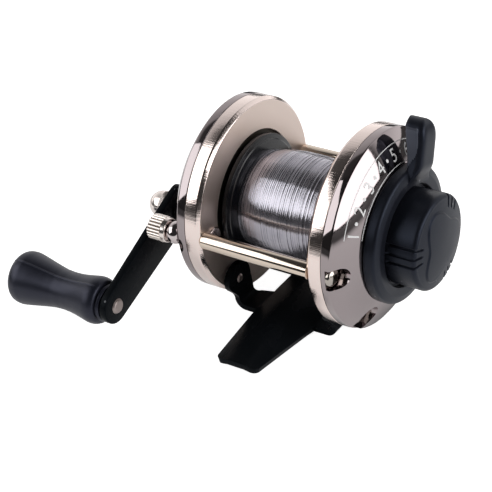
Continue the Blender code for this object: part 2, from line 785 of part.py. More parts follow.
def crank_pieces():
    """Shaft, collar, spacer, arm, cap nut and knob rivet."""
    bore = SHAFT_RADIUS + RUNNING_GAP
    arm_end = ARM_FACE + ARM_THICKNESS
    nut_start = arm_end + FIT_GAP
    shaft_start = RING_LEDGE + FIT_GAP
    shaft_end = nut_start + SHAFT_END_IN_NUT
    shaft = [(-shaft_start, 0.0), (-shaft_start, SHAFT_RADIUS), (-shaft_end, SHAFT_RADIUS), (-shaft_end, 0.0)]
    turned("drive_shaft", shaft, DRIVE, STEEL)
    gear_end = MAIN_GEAR_START + MAIN_GEAR_WIDTH + FIT_GAP
    bush_start = HANDLE_FACE - COVER_WALL - FIT_GAP - 2 * BUSH_FLANGE
    collar = tube_profile(-(bush_start - RUNNING_GAP), -gear_end, GEAR_COLLAR_RADIUS, bore)
    turned("gear_collar", collar, DRIVE, STEEL)
    spacer_start = COVER_BUSH_END + RUNNING_GAP
    spacer = tube_profile(-(ARM_FACE - FIT_GAP), -spacer_start, CRANK_SPACER_RADIUS, bore)
    turned("crank_spacer", spacer, DRIVE, STEEL)
    holes = [
        circle(bore, SMALL_FACETS),
        circle(
            RIVET_RADIUS + RUNNING_GAP,
            SMALL_FACETS,
            -CRANK_RADIUS * cos(CRANK_DROP),
            -CRANK_RADIUS * sin(CRANK_DROP),
        ),
    ]
    arm = flat_curve("crank_arm", [arm_outline()] + holes, -arm_end, -ARM_FACE, DRIVE)
    dress(meshed(arm), BLACK_PAINT)
    nut_base = nut_start + NUT_HEIGHT
    dome_centre = nut_start + NUT_LENGTH - NUT_DOME_RADIUS
    blind = shaft_end + 0.2 * MM
    hexagon = [
        (-nut_start, 0.0),
        (-nut_start, NUT_ACROSS_CORNERS / 2),
        (-nut_base, NUT_ACROSS_CORNERS / 2),
        (-nut_base, 0.0),
    ]
    nut = turned("cap_nut", hexagon, DRIVE, CHAMPAGNE, 6)
    dome = [(-(nut_base - 0.1 * MM), 0.0), (-(nut_base - 0.1 * MM), NUT_DOME_RADIUS)]
    for step in range(6):
        angle = pi / 2 * step / 5
        radius = NUT_DOME_RADIUS * cos(angle) if step < 5 else 0.0
        dome.append((-(dome_centre + NUT_DOME_RADIUS * sin(angle)), radius))
    combine(nut, turned_object("nut_dome", dome, DRIVE, SMALL_FACETS), "UNION")
    drill(nut, DRIVE, -blind, -(nut_start - MM), bore)
    head = ARM_FACE - FIT_GAP
    knob_end = arm_end + KNOB_START_GAP + KNOB_LENGTH
    tail = knob_end - KNOB_POCKET_DEPTH + FIT_GAP
    rivet = [
        (-(head - RIVET_HEAD_HEIGHT), 0.0),
        (-(head - RIVET_HEAD_HEIGHT), RIVET_HEAD_RADIUS * 0.7),
        (-(head - RIVET_HEAD_HEIGHT / 2), RIVET_HEAD_RADIUS),
        (-head, RIVET_HEAD_RADIUS),
        (-head, RIVET_RADIUS),
        (-tail, RIVET_RADIUS),
        (-tail, RIVET_TAIL_RADIUS),
        (-(tail + RIVET_TAIL_HEIGHT), RIVET_TAIL_RADIUS),
        (-(tail + RIVET_TAIL_HEIGHT), 0.0),
    ]
    turned("knob_rivet", rivet, KNOB, STEEL)


def smooth_step(start, end, share):
    """Value that eases from start to end."""
    return start + (end - start) * (0.5 - 0.5 * cos(pi * share))


def handle_knob():
    """Turned knob: boss, shoulder, waisted neck, bulge and rounded end, free on the rivet."""
    start = ARM_FACE + ARM_THICKNESS + KNOB_START_GAP
    bore = RIVET_RADIUS + RUNNING_GAP
    end = start + KNOB_LENGTH
    shoulder_place = 0.09
    neck_place = 0.47
    bulge_place = 0.86
    profile = [(-start, bore), (-start, KNOB_BOSS_RADIUS)]
    for step in range(1, 3):
        angle = pi / 2 * step / 2
        place = shoulder_place * (1 - cos(angle))
        radius = KNOB_BOSS_RADIUS + (KNOB_SHOULDER_RADIUS - KNOB_BOSS_RADIUS) * sin(angle)
        profile.append((-(start + KNOB_LENGTH * place), radius))
    stretches = (
        (shoulder_place, neck_place, KNOB_SHOULDER_RADIUS, KNOB_NECK_RADIUS),
        (neck_place, bulge_place, KNOB_NECK_RADIUS, KNOB_BULGE_RADIUS),
    )
    for first, last, first_radius, last_radius in stretches:
        for step in range(1, 5):
            share = step / 4
            place = first + (last - first) * share
            profile.append((-(start + KNOB_LENGTH * place), smooth_step(first_radius, last_radius, share)))
    for step in range(1, 5):
        angle = pi / 2 * step / 4
        place = bulge_place + (1 - bulge_place) * sin(angle)
        radius = KNOB_END_RADIUS + (KNOB_BULGE_RADIUS - KNOB_END_RADIUS) * cos(angle)
        profile.append((-(start + KNOB_LENGTH * place), radius))
    tail_pocket = RIVET_TAIL_RADIUS + 2 * RUNNING_GAP
    profile += [
        (-end, tail_pocket),
        (-(end - KNOB_POCKET_DEPTH), tail_pocket),
        (-(end - KNOB_POCKET_DEPTH), bore),
    ]
    turned("handle_knob", profile, KNOB, BLACK_PLASTIC, 24)


# Spool
def flange_face(radius):
    """Place of a flange's inner face at a radius: a shallow cone."""
    share = (radius - SPOOL_BARREL_RADIUS) / (SPOOL_FLANGE_RADIUS - SPOOL_BARREL_RADIUS)
    return SPOOL_FLANGE_ROOT + (SPOOL_FLANGE_RIM - SPOOL_FLANGE_ROOT) * share


def spool_pieces():
    """Spool with a bearing in each end socket, turning on the fixed axle."""
    socket = SPOOL_OUTER_FACE - SOCKET_DEPTH
    profile = []
    for side in (DIAL, HANDLE):
        half = [
            (side * socket, SPOOL_BORE),
            (side * socket, SOCKET_RADIUS),
            (side * SPOOL_OUTER_FACE, SOCKET_RADIUS),
            (side * SPOOL_OUTER_FACE, SPOOL_FLANGE_RADIUS),
            (side * SPOOL_FLANGE_RIM, SPOOL_FLANGE_RADIUS),
            (side * SPOOL_FLANGE_ROOT, SPOOL_BARREL_RADIUS),
        ]
        if side == HANDLE:
            half.reverse()
        profile += half
    turned("spool", profile, AXLE, BLACK_PAINT, LARGE_FACETS)
    for name, side in (("handle_side_bearing", HANDLE), ("dial_side_bearing", DIAL)):
        inner = socket + FIT_GAP
        places = sorted((side * inner, side * (inner + BEARING_WIDTH)))
        ring = tube_profile(places[0], places[1], SOCKET_RADIUS - FIT_GAP, AXLE_RADIUS + RUNNING_GAP)
        turned(name, ring, AXLE, STEEL)
    disc_hub = SPOOL_OUTER_FACE - BEARING_WIDTH
    disc = [
        (disc_hub, AXLE_RADIUS + RUNNING_GAP),
        (disc_hub, SOCKET_RADIUS - FIT_GAP),
        (DISC_START, SOCKET_RADIUS - FIT_GAP),
        (DISC_START, DISC_RADIUS),
        (DISC_START + DISC_THICKNESS, DISC_RADIUS),
        (DISC_START + DISC_THICKNESS, AXLE_RADIUS + RUNNING_GAP),
    ]
    turned("brake_disc", disc, AXLE, STEEL, MEDIUM_FACETS)
    handle_end = HANDLE_FACE - COVER_WALL - FIT_GAP
    axle = [
        (-handle_end, 0.0),
        (-handle_end, AXLE_RADIUS),
        (AXLE_DIAL_END, AXLE_RADIUS),
        (AXLE_DIAL_END, 0.0),
    ]
    turned("spool_axle", axle, AXLE, STEEL)


def line_path():
    """Helix of the outer layer, with each end turned towards its flange, as (x, y, z) from the axle."""
    span = 2 * (flange_face(LINE_PATH_RADIUS) - LINE_END_GAP - LINE_DIAMETER - LINE_END_BEND)
    pitch = span / LINE_TURNS
    count = LINE_TURNS * POINTS_PER_TURN
    points = []
    for step in range(count + 1):
        angle = 2 * pi * step / POINTS_PER_TURN
        x = -span / 2 + pitch * step / POINTS_PER_TURN
        points.append((x, LINE_PATH_RADIUS * cos(angle), LINE_PATH_RADIUS * sin(angle)))
    tails = []
    for side in (HANDLE, DIAL):
        tail = []
        for step in range(1, 4):
            turn = pi / 2 * step / 3
            angle = side * LINE_END_BEND * sin(turn) / LINE_PATH_RADIUS
            x = side * (span / 2 + LINE_END_BEND * (1 - cos(turn)))
            tail.append((x, LINE_PATH_RADIUS * cos(angle), LINE_PATH_RADIUS * sin(angle)))
        last = tail[-1]
        tail.append((last[0] + side * LINE_DIAMETER, last[1], last[2]))
        tails.append(tail)
    return list(reversed(tails[0])) + points + tails[1]


def least_gap(points):
    """Least distance between points more than half a turn apart, less the line's diameter."""
    nearest = PLATE_RADIUS
    skip = POINTS_PER_TURN // 2
    for index, first in enumerate(points):
        for second in points[index + skip : index + 2 * POINTS_PER_TURN]:
            apart = sqrt(sum((a - b) ** 2 for a, b in zip(first, second)))
            nearest = min(nearest, apart)
    return nearest - LINE_DIAMETER


def line_pieces():
    """Plain core of line, and its outer layer as one unbroken helical tube."""
    gap = 2 * FIT_GAP
    low = SPOOL_BARREL_RADIUS + gap
    core = [
        (-(flange_face(low) - gap), low),
        (-(flange_face(LINE_CORE_RADIUS) - gap), LINE_CORE_RADIUS),
        (flange_face(LINE_CORE_RADIUS) - gap, LINE_CORE_RADIUS),
        (flange_face(low) - gap, low),
    ]
    turned("line_core", core, AXLE, CLEAR_LINE, LARGE_FACETS)
    points = line_path()
    data = bpy.data.curves.new("line_winding", "CURVE")
    data.dimensions = "3D"
    data.bevel_depth = LINE_DIAMETER / 2
    data.bevel_resolution = 1
    data.use_fill_caps = True
    spline = data.splines.new("POLY")
    spline.points.add(len(points) - 1)
    for point, place in zip(spline.points, points):
        point.co = (*place, 1.0)
    winding = bpy.data.objects.new("line_winding", data)
    winding.parent = AXLE
    dress(winding, CLEAR_LINE)
    print("least gap of the winding to itself, mm:", round(least_gap(points) / MM, 3))


# Drag
def drag_places():
    """Places along X of the drag pieces, from the brake disc outwards."""
    pad = DISC_START + DISC_THICKNESS + PAD_GAP
    plate = pad + PAD_THICKNESS + FIT_GAP
    washer = plate + PLATE_THICKNESS + 2 * FIT_GAP
    cam = washer + WASHER_SHEET + WASHER_RISE + LEVER_PLAY
    hub = cam + CAM_THICKNESS + FIT_GAP
    return pad, plate, washer, cam, hub


def drag_pieces():
    """Pad, pressure plate, dished spring washer and cam ring."""
    pad, plate, washer, cam, _ = drag_places()
    bore = AXLE_RADIUS + RUNNING_GAP
    profile = tube_profile(pad, pad + PAD_THICKNESS, PAD_OUTER_RADIUS, PAD_INNER_RADIUS)
    turned("drag_pad", profile, AXLE, FIBRE, MEDIUM_FACETS)
    profile = tube_profile(plate, plate + PLATE_THICKNESS, DISC_RADIUS, bore)
    turned("pressure_plate", profile, AXLE, STEEL, MEDIUM_FACETS)
    dished = [
        (washer, WASHER_OUTER_RADIUS),
        (washer + WASHER_RISE, WASHER_INNER_RADIUS),
        (washer + WASHER_RISE + WASHER_SHEET, WASHER_INNER_RADIUS),
        (washer + WASHER_SHEET, WASHER_OUTER_RADIUS),
    ]
    turned("drag_spring_washer", dished, AXLE, STEEL, MEDIUM_FACETS)
    profile = tube_profile(cam, cam + CAM_THICKNESS, CAM_RADIUS, bore)
    turned("cam_ring", profile, AXLE, BRASS, MEDIUM_FACETS)


def lever_outline():
    """Lever blade: parallel sides that widen into the ring, and a round tip, as (y, z) points."""
    out_y = sin(LEVER_LEAN)
    out_z = cos(LEVER_LEAN)
    tip_centre = LEVER_REACH - LEVER_TIP_RADIUS
    waist = LEVER_RING_RADIUS + 2 * MM
    root = LEVER_RECESS_RADIUS + 1.2 * MM
    shape = [(root, -LEVER_ROOT_HALF_WIDTH), (waist, -LEVER_TIP_RADIUS)]
    for step in range(SMALL_FACETS // 2 + 1):
        angle = -pi / 2 + pi * step / (SMALL_FACETS // 2)
        along = tip_centre + LEVER_TIP_RADIUS * cos(angle)
        shape.append((along, LEVER_TIP_RADIUS * sin(angle)))
    shape += [(waist, LEVER_TIP_RADIUS), (root, LEVER_ROOT_HALF_WIDTH)]
    return [(out_y * along - out_z * across, out_z * along + out_y * across) for along, across in shape]


def drag_lever():
    """Ring with a recess for the knob, a hub through the cover, and one lever."""
    hub = drag_places()[4]
    back = DIAL_FACE + FIT_GAP
    front = back + LEVER_RING_DEPTH
    floor = front - LEVER_RECESS_DEPTH
    bore = AXLE_RADIUS + RUNNING_GAP
    profile = [
        (hub, bore),
        (hub, LEVER_HUB_RADIUS),
        (back, LEVER_HUB_RADIUS),
        (back, LEVER_RING_RADIUS),
        (front - LEVER_RING_BEVEL, LEVER_RING_RADIUS),
        (front, LEVER_RING_RADIUS - LEVER_RING_BEVEL),
        (front, LEVER_RECESS_RADIUS),
        (floor, LEVER_RECESS_RADIUS),
        (floor, bore),
    ]
    lever = turned("drag_lever", profile, AXLE, BLACK_PLASTIC, LARGE_FACETS)
    inset = 0.05 * MM
    blade = flat_curve("lever_blade", [lever_outline()], back + inset, back + LEVER_DEPTH, AXLE)
    combine(lever, meshed(blade), "UNION")


def preset_pieces():
    """Knob with three groups of grip grooves, and the brass nut that runs on the axle's thread."""
    floor = DIAL_FACE + FIT_GAP + LEVER_RING_DEPTH - LEVER_RECESS_DEPTH
    start = floor + PRESET_GAP
    edge = start + PRESET_DEPTH
    socket = PRESET_NUT_RADIUS + RUNNING_GAP
    socket_end = start + PRESET_NUT_LENGTH + 2 * FIT_GAP
    flat = PRESET_RADIUS - PRESET_ROUNDING
    profile = [(socket_end, 0.0), (socket_end, socket), (start, socket), (start, PRESET_RADIUS)]
    for step in range(4):
        angle = pi / 2 * step / 3
        place = edge - PRESET_ROUNDING * (1 - sin(angle))
        profile.append((place, flat + PRESET_ROUNDING * cos(angle)))
    for share in (0.7, 0.35):
        profile.append((edge + PRESET_CROWN * (1 - share**2), flat * share))
    profile.append((edge + PRESET_CROWN, 0.0))
    knob = turned("preset_knob", profile, AXLE, BLACK_PLASTIC, LARGE_FACETS)
    work = bmesh.new()
    length = PRESET_DEPTH
    for group in range(GROOVE_GROUPS):
        for groove in range(GROOVES_IN_GROUP):
            offset = groove - (GROOVES_IN_GROUP - 1) / 2
            angle = GROOVE_FIRST_ANGLE + 2 * pi * group / GROOVE_GROUPS + offset * GROOVE_PITCH
            cube = bmesh.ops.create_cube(work, size=1.0)["verts"]
            for vert in cube:
                radius = PRESET_RADIUS + vert.co.y * 2 * GROOVE_DEPTH
                across = vert.co.z * GROOVE_WIDTH
                place = edge - PRESET_DEPTH / 2 + MM + vert.co.x * length
                y = -(radius * cos(angle) - across * sin(angle))
                vert.co = (place, y, radius * sin(angle) + across * cos(angle))
    bmesh.ops.recalc_face_normals(work, faces=work.faces)
    mesh = bpy.data.meshes.new("grip_grooves")
    work.to_mesh(mesh)
    work.free()
    grooves = bpy.data.objects.new("grip_grooves", mesh)
    grooves.parent = AXLE
    combine(knob, grooves, "DIFFERENCE")
    nut = tube_profile(start + FIT_GAP, start + PRESET_NUT_LENGTH, PRESET_NUT_RADIUS, AXLE_RADIUS + RUNNING_GAP)
    turned("preset_nut", nut, AXLE, BRASS)


frame_ring("handle_side_ring", HANDLE)
frame_ring("dial_side_ring", DIAL)
pillar("front_pillar", FRONT)
pillar("rear_pillar", REAR)
handle_cover()
dial_cover()
for screw_name, screw_side, screw_axis, screw_end in (
    ("handle_screw_rear", HANDLE, REAR, PILLAR_SCREW_END),
    ("handle_screw_foot_front", HANDLE, FRONT_EAR, EAR_SCREW_END),
    ("handle_screw_foot_rear", HANDLE, REAR_EAR, EAR_SCREW_END),
    ("dial_screw_front", DIAL, FRONT, PILLAR_SCREW_END),
    ("dial_screw_rear", DIAL, REAR, PILLAR_SCREW_END),
    ("dial_screw_foot_front", DIAL, FRONT_EAR, EAR_SCREW_END),
    ("dial_screw_foot_rear", DIAL, REAR_EAR, EAR_SCREW_END),
):
    cover_screw(screw_name, screw_side, screw_axis, screw_end)
reel_foot()
thumb_pieces()
gear_plate()
gear_train()
crank_pieces()
handle_knob()
spool_pieces()
line_pieces()
drag_pieces()
drag_lever()
preset_pieces()
bpy.context.view_layer.update()
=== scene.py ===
"""Looks of the baitcasting reel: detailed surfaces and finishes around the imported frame.

X runs along the spool axle towards the drag dial, Y along the rod, Z up. Fields and corners are in
millimetres, with places counted from the axle. Arrays are in metres where their docstring says so.
"""

from __future__ import annotations

import logging
import math
from dataclasses import dataclass
from enum import Enum
from typing import Sequence

import bmesh
import bpy
import numpy as np
from mathutils import Matrix, Vector

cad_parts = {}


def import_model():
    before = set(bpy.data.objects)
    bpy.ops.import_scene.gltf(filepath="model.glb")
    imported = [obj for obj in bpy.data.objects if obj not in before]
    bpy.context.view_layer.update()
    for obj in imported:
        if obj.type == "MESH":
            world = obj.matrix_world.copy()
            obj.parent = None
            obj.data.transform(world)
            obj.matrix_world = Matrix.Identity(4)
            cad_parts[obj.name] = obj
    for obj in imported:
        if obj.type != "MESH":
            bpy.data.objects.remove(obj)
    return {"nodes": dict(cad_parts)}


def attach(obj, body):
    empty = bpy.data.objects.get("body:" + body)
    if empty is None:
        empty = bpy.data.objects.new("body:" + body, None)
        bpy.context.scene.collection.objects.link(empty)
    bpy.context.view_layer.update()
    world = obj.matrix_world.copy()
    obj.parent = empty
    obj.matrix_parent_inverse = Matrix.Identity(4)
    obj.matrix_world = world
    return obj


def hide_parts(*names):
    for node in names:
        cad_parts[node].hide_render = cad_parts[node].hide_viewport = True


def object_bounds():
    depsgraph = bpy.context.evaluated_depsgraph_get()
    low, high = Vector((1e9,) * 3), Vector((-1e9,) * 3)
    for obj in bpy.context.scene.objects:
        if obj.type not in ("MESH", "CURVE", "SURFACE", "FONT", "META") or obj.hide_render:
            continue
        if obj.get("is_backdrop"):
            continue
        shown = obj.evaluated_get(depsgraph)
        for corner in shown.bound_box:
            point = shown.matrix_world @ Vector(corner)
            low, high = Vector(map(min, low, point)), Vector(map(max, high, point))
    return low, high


Array = np.ndarray
Spot = tuple[float, float]
Triple = tuple[float, float, float]
Piece = bpy.types.Object
Material = bpy.types.Material
Tree = bpy.types.NodeTree
Socket = bpy.types.NodeSocket
Inputs = dict[str | int, object]

LOG = logging.getLogger("reel")
MM = 0.001
AXLE_HEIGHT = 23.3 * MM
AXLE = (0.0, AXLE_HEIGHT)
FLAT = 1e-7
LONGEST_FILLET = 0.49


class Side(Enum):
    """Side of the reel, as the sign of X."""

    HANDLE = -1
    DIAL = 1


class Body(Enum):
    """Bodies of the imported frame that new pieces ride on."""

    FRAME = "frame"
    CRANK = "crank"
    HANDLE = "handle"
    SPOOL = "spool_group"
    LEVER = "lever_group"
    PRESET = "preset_group"
    THUMB_NUT = "thumb_nut_group"


class Join(Enum):
    """Ways to combine a piece with a tool."""

    CUT = "DIFFERENCE"
    ADD = "UNION"


# Profiles and outlines


def rounded(corners: Sequence[Triple], closed: bool = True, steps: int = 6) -> Array:
    """Polyline with each corner turned into a circular arc.

    An arc is a rational quadratic curve from one tangent point to the other, with the corner as its middle
    control point and the sine of half the corner's angle as the weight.

    Args:
        corners: Points as (first, second, fillet radius).
        closed: Whether the last corner joins the first.
        steps: Stretches in each arc.

    Returns:
        Points as an array of (first, second) in metres.
    """
    spots = np.array([corner[:2] for corner in corners], float)
    share = np.linspace(0.0, 1.0, steps + 1)[:, None]
    first = (1 - share) ** 2
    last = share**2
    points: list[Array] = []
    for index, (_, _, fillet) in enumerate(corners):
        spot = spots[index]
        at_end = not closed and index in (0, len(corners) - 1)
        if fillet <= 0 or at_end:
            points.append(spot[None, :])
            continue
        before = spots[index - 1] - spot
        after = spots[(index + 1) % len(corners)] - spot
        lengths = np.linalg.norm([before, after], axis=1)
        before = before / lengths[0]
        after = after / lengths[1]
        half = 0.5 * math.acos(float(np.clip(before @ after, -1.0, 1.0)))
        reach = min(fillet / math.tan(half), LONGEST_FILLET * lengths.min())
        middle = 2 * share * (1 - share) * math.sin(half)
        curve = first * (spot + before * reach) + middle * spot + last * (spot + after * reach)
        points.append(curve / (first + middle + last))
    return np.concatenate(points) * MM


def circle_angles(count: int) -> Array:
    """Angles round a full turn, without the last one."""
    return np.linspace(0.0, 2 * math.pi, count, endpoint=False)


def direction(angle: float) -> Array:
    """Unit vector at an angle."""
    return np.array([math.cos(angle), math.sin(angle)])


def directed(spot: Spot, out: Array, along: Array, across: Array) -> Array:
    """Points at distances along a direction and across it.

    Args:
        spot: Y and Z of the place that distances are counted from.
        out: The direction, as a unit vector.
        along: Distances along it.
        across: Distances across it.

    Returns:
        Points (Y, Z).
    """
    y = spot[0] + out[0] * along - out[1] * across
    z = spot[1] + out[1] * along + out[0] * across
    return np.stack([y, z], -1)


def squared(value: Array, power: float) -> Array:
    """Sine or cosine squared off by a power, with its sign kept."""
    return np.sign(value) * np.abs(value) ** power


def eased(value: Array) -> Array:
    """Smooth step: 0 below 0, 1 above 1, and level at both ends."""
    share = np.clip(value, 0.0, 1.0)
    return share * share * (3 - 2 * share)


def raised(x: Array, y: Array, z: Array) -> Array:
    """Points in metres from millimetres about the axle."""
    return np.stack(np.broadcast_arrays(x, y, z), -1) * MM + np.array([0.0, 0.0, AXLE_HEIGHT])


def stretches(profile: Array) -> tuple[Array, Array]:
    """Distance from the reel's middle and radius, halfway along each stretch of a closed profile."""
    middle = (np.abs(profile) + np.abs(np.roll(profile, -1, axis=0))) / 2
    return middle[:, 0], middle[:, 1]


def revolve(profile: Array, angles: Array, centre: Spot = AXLE, swell: Array | float = 0.0) -> Array:
    """Turn a profile round an axis along X: a point (x, r) goes to (x, r sin a, -r cos a) about the centre.

    Args:
        profile: Points (place along X, radius), in metres.
        angles: Angles from the bottom, towards +Y.
        centre: Y and Z of the axis, in metres.
        swell: What is added to the radius at each point, in metres.

    Returns:
        Grid of points in metres, one row for each profile point.
    """
    radius = profile[:, 1, None] + swell
    across = centre[0] + radius * np.sin(angles)
    height = centre[1] - radius * np.cos(angles)
    return np.stack(np.broadcast_arrays(profile[:, 0, None], across, height), axis=-1)


def linked(name: str, data: bpy.types.ID) -> Piece:
    """Put new data into the scene.

    Args:
        name: Name of the object.
        data: Its mesh, curve, light or camera.

    Returns:
        The new object, at the origin.
    """
    piece = bpy.data.objects.new(name, data)
    bpy.context.scene.collection.objects.link(piece)
    return piece


def baked(piece: Piece) -> bpy.types.Mesh:
    """Apply the modifiers of an object, or turn its text into faces.

    Args:
        piece: The object, which stays as it is.

    Returns:
        A new mesh.
    """
    bpy.context.view_layer.update()
    depsgraph = bpy.context.evaluated_depsgraph_get()
    return bpy.data.meshes.new_from_object(piece.evaluated_get(depsgraph))


def smoothed(mesh: bpy.types.Mesh, sharp: float) -> None:
    """Clean a mesh up: doubles merged, empty faces gone, normals outwards, and smooth between sharp edges.

    Args:
        mesh: Mesh to change.
        sharp: Angle in degrees from which an edge stays sharp.
    """
    work = bmesh.new()
    work.from_mesh(mesh)
    bmesh.ops.remove_doubles(work, verts=work.verts, dist=2e-7)
    bmesh.ops.dissolve_degenerate(work, edges=work.edges, dist=1e-8)
    bmesh.ops.recalc_face_normals(work, faces=work.faces)
    work.to_mesh(mesh)
    work.free()
    mesh.shade_smooth()
    mesh.set_sharp_from_angle(angle=math.radians(sharp))


class Surface:
    """Mesh in the making: grids of points and flat caps, with corner UVs and finish numbers."""

    def __init__(self) -> None:
        """Start with nothing."""
        self.points: list[Array] = []
        self.faces: list[list[int]] = []
        self.uvs: list[Spot] = []
        self.finishes: list[int] = []
        self.count = 0

    def grid(
        self, points: Array, wrap_rows: bool = False, wrap_columns: bool = True, finish: Array | int = 0
    ) -> Surface:
        """Add the quads of a grid.

        Args:
            points: Array of rows, columns and xyz.
            wrap_rows: Whether the last row joins the first.
            wrap_columns: Whether the last column joins the first.
            finish: Finish number, or one for each row of quads, or one for each quad.

        Returns:
            The surface itself.
        """
        rows, columns = points.shape[:2]
        row = np.arange(rows if wrap_rows else rows - 1)
        column = np.arange(columns if wrap_columns else columns - 1)
        i, j = np.meshgrid(row, column, indexing="ij")
        here = i * columns
        below = (i + 1) % rows * columns
        beside = (j + 1) % columns
        corners = np.stack([here + j, here + beside, below + beside, below + j], -1)
        self.faces += (corners.reshape(-1, 4) + self.count).tolist()
        steps = np.linalg.norm(np.diff(points, axis=0), axis=2).mean(axis=1)
        along = np.concatenate([[0.0], np.cumsum(steps)])
        along = along / max(along[-1], 1e-9)
        low = along[np.minimum(i, rows - 1)]
        high = along[np.minimum(i + 1, rows - 1)]
        left = j / len(column)
        right = (j + 1) / len(column)
        self.uvs += np.stack([left, low, right, low, right, high, left, high], -1).reshape(-1, 2).tolist()
        numbers = np.asarray(finish)
        numbers = numbers[:, None] if numbers.ndim == 1 else numbers
        self.finishes += np.broadcast_to(numbers, i.shape).ravel().tolist()
        self.points.append(points.reshape(-1, 3))
        self.count += rows * columns
        return self

    def cap(self, ring: Array) -> None:
        """Add one flat face.

        Args:
            ring: Points round the face.
        """
        self.faces.append(list(range(self.count, self.count + len(ring))))
        middle = ring.mean(axis=0)
        offset = (ring - middle) / max(float(np.abs(ring - middle).max()), 1e-9)
        self.uvs += (0.5 + 0.5 * offset[:, 1:]).tolist()
        self.finishes.append(0)
        self.points.append(ring)
        self.count += len(ring)

    def tube(self, points: Array, finish: Array | int = 0) -> Surface:
        """Add a grid that closes round its columns, with a cap on its first and its last row.

        Args:
            points: Array of rows, columns and xyz.
            finish: Finish number, or one for each quad.

        Returns:
            The surface itself.
        """
        self.grid(points, finish=finish)
        self.cap(points[0])
        self.cap(points[-1])
        return self

    def build(self, name: str, finishes: Sequence[Material], sharp: float = 40.0) -> Piece:
        """Make the object, with doubles merged, faces pointing out and sharp edges kept.

        Args:
            name: Name of the piece.
            finishes: Materials in the order of the finish numbers.
            sharp: Angle in degrees from which an edge stays sharp.

        Returns:
            The new object, at the origin.
        """
        mesh = bpy.data.meshes.new(name)
        mesh.from_pydata(np.concatenate(self.points).tolist(), [], self.faces)
        layer = mesh.uv_layers.new(name="UVMap")
        layer.data.foreach_set("uv", np.array(self.uvs, np.float32).ravel())
        mesh.polygons.foreach_set("material_index", np.array(self.finishes, np.int32))
        smoothed(mesh, sharp)
        for material in finishes:
            mesh.materials.append(material)
        return linked(name, mesh)


def turned(
    profile: Array, centre: Spot = AXLE, segments: int = 96, closed: bool = True, finish: Array | int = 0
) -> Surface:
    """Turned surface from a profile.

    Args:
        profile: Points (place along X, radius), in metres.
        centre: Y and Z of the axis, in metres.
        segments: Facets round the axis.
        closed: Whether the profile is a loop that keeps clear of the axis.
        finish: Finish number, or one for each stretch of the profile.

    Returns:
        The surface.
    """
    points = revolve(profile, circle_angles(segments), centre)
    return Surface().grid(points, wrap_rows=closed, finish=finish)


def prism(outline: Array, places: Spot, edge: float = 0.0) -> Surface:
    """Plate with rounded edges: the outline shrinks along a quarter circle at each face.

    Args:
        outline: Convex outline as (Y, Z) from the axle, counted round.
        places: Both ends along X, in any order.
        edge: Radius of the rounded edges.

    Returns:
        The surface, closed by two flat caps.
    """
    start, end = sorted(places)
    chord = np.roll(outline, -1, axis=0) - np.roll(outline, 1, axis=0)
    normal = np.stack([chord[:, 1], -chord[:, 0]], -1)
    normal /= np.linalg.norm(normal, axis=1)[:, None]
    ahead = np.roll(outline, -1, axis=0)
    area = np.sum(outline[:, 0] * ahead[:, 1] - ahead[:, 0] * outline[:, 1])
    normal *= math.copysign(1.0, area)
    turn = np.linspace(0.0, math.pi / 2, 4) if edge > 0 else np.array([math.pi / 2])
    inset = edge * (1 - np.sin(turn))
    depth = edge * (1 - np.cos(turn))
    inset = np.concatenate([inset, inset[::-1]])
    place = np.concatenate([start + depth, end - depth[::-1]])
    flat = outline - normal * inset[:, None, None]
    return Surface().tube(raised(place[:, None], flat[..., 0], flat[..., 1]))


def boolean(piece: Piece, tool: Piece, join: Join = Join.CUT, sharp: float = 30.0) -> None:
    """Cut a piece with a tool or add the tool to it, then remove the tool.

    Args:
        piece: Piece to change.
        tool: Object that is cut away or added.
        join: Which of the two.
        sharp: Angle in degrees from which an edge stays sharp.
    """
    step = piece.modifiers.new(join.name, "BOOLEAN")
    step.operation = join.value
    step.solver = "EXACT"
    step.object = tool
    result = baked(piece)
    piece.modifiers.clear()
    piece.data = result
    bpy.data.objects.remove(tool, do_unlink=True)
    smoothed(result, sharp)


# Finishes


